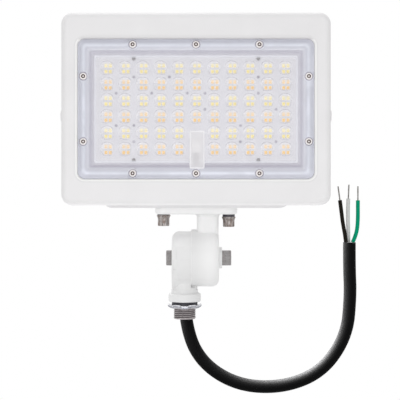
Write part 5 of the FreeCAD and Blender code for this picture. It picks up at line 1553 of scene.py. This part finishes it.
class FLOOD_OT_nipple(bpy.types.Operator):
    """Cuts the nipple's helical thread and stamps its locknut"""

    bl_idname = "flood.nipple"
    bl_label = "Nipple and locknut"

    def execute(self, context):
        sizes = context.scene.flood_sizes
        points, faces, cut = thread_shape(sizes)
        thread = make_piece(
            "nipple_thread", "base", "grey_casting", points, faces, [FINISHES["thread"]],
            replaces=("threaded_nipple",), sharp=60.0,
        )
        # Painted shade in the thread's roots
        set_values(thread.data, "recess", cut)
        points, faces, edge = locknut_shape(sizes)
        nut = make_piece(
            "stamped_locknut", "nut", "zinc", points, faces, [FINISHES["zinc"]],
            replaces=("locknut",), sharp=40.0,
        )
        # Painted shade on the locknut's outer edge
        set_values(nut.data, "recess", edge)
        return {"FINISHED"}


def show_mix(tree, share, first, second, kind):
    """Mixes two shaders by a share and feeds the result to the tree's output of a kind."""
    node = tree.nodes.new("ShaderNodeMixShader")
    for end, socket in zip((share, first, second), node.inputs):
        feed(tree, end, socket)
    output = next(each for each in tree.nodes if each.type == kind)
    set_inputs(tree, output, Surface=node.outputs["Shader"])


def make_floor(radius, height):
    """A round floor that shows the light's shadow near its middle and fades to white towards its edge."""
    grey, rough = (0.9, 0.9, 0.9), 0.9
    clear_share, white_share, last_share = 0.35, 0.95, 0.02
    rings, turns = 12, 64
    material, tree, shader, where = new_finish("Pale floor")
    set_inputs(tree, shader, Base_Color=grey, Roughness=rough)
    length = tree.nodes.new("ShaderNodeVectorMath")
    length.operation = "LENGTH"
    set_inputs(tree, length, Vector=where)
    far = remap(tree, length.outputs["Value"], 0.0, 1.0, clear_share * radius, white_share * radius)
    seen = tree.nodes.new("ShaderNodeLightPath").outputs["Is Camera Ray"]
    share = arithmetic(tree, "MULTIPLY", far, seen)
    white = tree.nodes.new("ShaderNodeEmission")
    show_mix(tree, share, shader.outputs["BSDF"], white.outputs["Emission"], "OUTPUT_MATERIAL")
    ring, _ = lathe([(radius * part, height) for part in np.linspace(1, last_share, rings)], turns)
    points, (quads, (_, middle)) = surface(ring)
    mesh = bpy.data.meshes.new("floor")
    mesh.from_pydata(points.tolist(), [], [*quads.tolist(), middle.tolist()])
    mesh.materials.append(material)
    floor = place_object("floor", mesh)


def make_world(scene, ambient):
    """White for what the camera, mirrors and clear pieces see, and a softer light for everything else.

    The soft light is a little stronger from above.
    """
    white_tone, low_share, high_share = (1.0, 1.0, 1.0), 0.95, 1.02
    world = bpy.data.worlds.new("Studio")
    scene.world = world
    world.use_nodes = True
    tree = world.node_tree
    soft = next(node for node in tree.nodes if node.type == "BACKGROUND")
    direction = tree.nodes.new("ShaderNodeTexCoord").outputs["Generated"]
    height = split_axes(tree, direction)["Z"]
    strength = remap(tree, height, low_share * ambient, high_share * ambient, -1.0, 1.0)
    set_inputs(tree, soft, Color=white_tone, Strength=strength)
    white = tree.nodes.new("ShaderNodeBackground")
    set_inputs(tree, white, Color=white_tone, Strength=1.0)
    path = tree.nodes.new("ShaderNodeLightPath").outputs
    seen = arithmetic(tree, "MAXIMUM", path["Is Camera Ray"], path["Is Glossy Ray"])
    seen = arithmetic(tree, "MAXIMUM", seen, path["Is Transmission Ray"])
    show_mix(tree, seen, soft.outputs["Background"], white.outputs["Background"], "OUTPUT_WORLD")


def piece_collection(name, pieces):
    """A collection, outside the scene's own, of pieces and carried-over solids by name."""
    holder = bpy.data.collections.new(name)
    for piece in pieces:
        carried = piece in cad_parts
        holder.objects.link(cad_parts[piece] if carried else bpy.data.objects[piece])
    return holder


def make_lamp(name, place, target, side, power, lit=(), spared=(), gloss_only=False):
    """A square soft lamp that points at a target.

    It lights the lit pieces alone, past all others, where some are named, and else everything but the spared
    ones. A lamp for gloss only shows in what shines and lights nothing else.
    """
    lamp = bpy.data.lights.new(name, "AREA")
    lamp.size = side
    lamp.energy = power
    holder = place_object(name, lamp)
    holder.location = place
    aim = Vector(target) - Vector(place)
    holder.rotation_euler = aim.to_track_quat("-Z", "Y").to_euler()
    holder.visible_diffuse = not gloss_only
    if lit:
        holder.light_linking.receiver_collection = piece_collection(name + " lights", lit)
        holder.light_linking.blocker_collection = holder.light_linking.receiver_collection
    if spared:
        holder.light_linking.receiver_collection = piece_collection(name + " spares", spared)
        for member in holder.light_linking.receiver_collection.collection_objects:
            member.light_linking.link_state = "EXCLUDE"


class FLOOD_OT_stage(bpy.types.Operator):
    """Lays the floor and sets up the world and the lamps"""

    bl_idname = "flood.stage"
    bl_label = "Stage"

    def execute(self, context):
        scene = context.scene
        scene.view_settings.view_transform = "Standard"
        make_floor(radius=1.4, height=-0.32)
        make_world(scene, ambient=0.84)
        middle = (HEAD_X, -0.02, 0.1)
        knuckle = (0.0, 0.0, PIVOT_Z)
        bottom = (HEAD_X, 0.0, HOUSING_LOW.z)
        bend = (0.1, 0.0, -0.02)
        halves = (
            "knuckle_lower", "knuckle_neck_web", "knuckle_neck_pad", "knuckle_split_ring", "knuckle_upper",
        )
        lower = ("knuckle_lower",)
        under = ("housing", "bracket_gasket", "bracket_seal_lip")
        cord = ("supply_cord_jacket",)
        make_lamp("Low softbox", place=(0.0, -0.8, -0.3), target=middle, side=0.5, power=1.9, spared=halves)
        make_lamp("High softbox", place=(-0.4, -1.6, 0.8), target=middle, side=1.2, power=0.8)
        make_lamp("Rim softbox", place=(-0.2, 0.15, 1.3), target=middle, side=0.8, power=4.0)
        make_lamp("Knuckle softbox", place=(-0.2, -1.0, 0.1), target=knuckle, side=0.6, power=1.2, lit=halves)
        make_lamp("Crown softbox", place=(-0.3, 0.05, 0.9), target=knuckle, side=0.5, power=2.0, lit=lower)
        make_lamp("Under softbox", place=(0.0, 0.25, -0.9), target=bottom, side=0.5, power=3.0, lit=under)
        make_lamp(
            "Cord softbox", place=(-0.49, 0.33, 0.86), target=bend, side=1.4, power=600.0, lit=cord,
            gloss_only=True,
        )
        return {"FINISHED"}


class FLOOD_PT_panel(bpy.types.Panel):
    """Lists the light's steps, sizes and colours"""

    bl_idname = "FLOOD_PT_panel"
    bl_label = "Flood light"
    bl_space_type = "VIEW_3D"
    bl_region_type = "UI"
    bl_category = "Flood light"

    def draw(self, context):
        for step in STEPS:
            self.layout.operator(step.bl_idname)
        for owner in (context.scene.flood_sizes, context.scene.flood_finish):
            for name in owner.__annotations__:
                self.layout.prop(owner, name)


STEPS = (
    FLOOD_OT_finishes,
    FLOOD_OT_camera,
    FLOOD_OT_cords,
    FLOOD_OT_lens_cover,
    FLOOD_OT_board,
    FLOOD_OT_screws,
    FLOOD_OT_bolts,
    FLOOD_OT_trims,
    FLOOD_OT_nipple,
    FLOOD_OT_stage,
)
CLASSES = (FLOOD_PG_sizes, FLOOD_PG_finish, *STEPS, FLOOD_PT_panel)


def register():
    for made in CLASSES:
        bpy.utils.register_class(made)
    bpy.types.Scene.flood_sizes = bpy.props.PointerProperty(type=FLOOD_PG_sizes)
    bpy.types.Scene.flood_finish = bpy.props.PointerProperty(type=FLOOD_PG_finish)


def unregister():
    del bpy.types.Scene.flood_finish
    del bpy.types.Scene.flood_sizes
    for made in reversed(CLASSES):
        bpy.utils.unregister_class(made)


def main():
    """Runs every step in order."""
    register()
    bpy.ops.flood.finishes()
    bpy.ops.flood.camera()
    bpy.ops.flood.cords()
    bpy.ops.flood.lens_cover()
    bpy.ops.flood.board()
    bpy.ops.flood.screws()
    bpy.ops.flood.bolts()
    bpy.ops.flood.trims()
    bpy.ops.flood.nipple()
    bpy.ops.flood.stage()


if __name__ == "__main__":
    main()
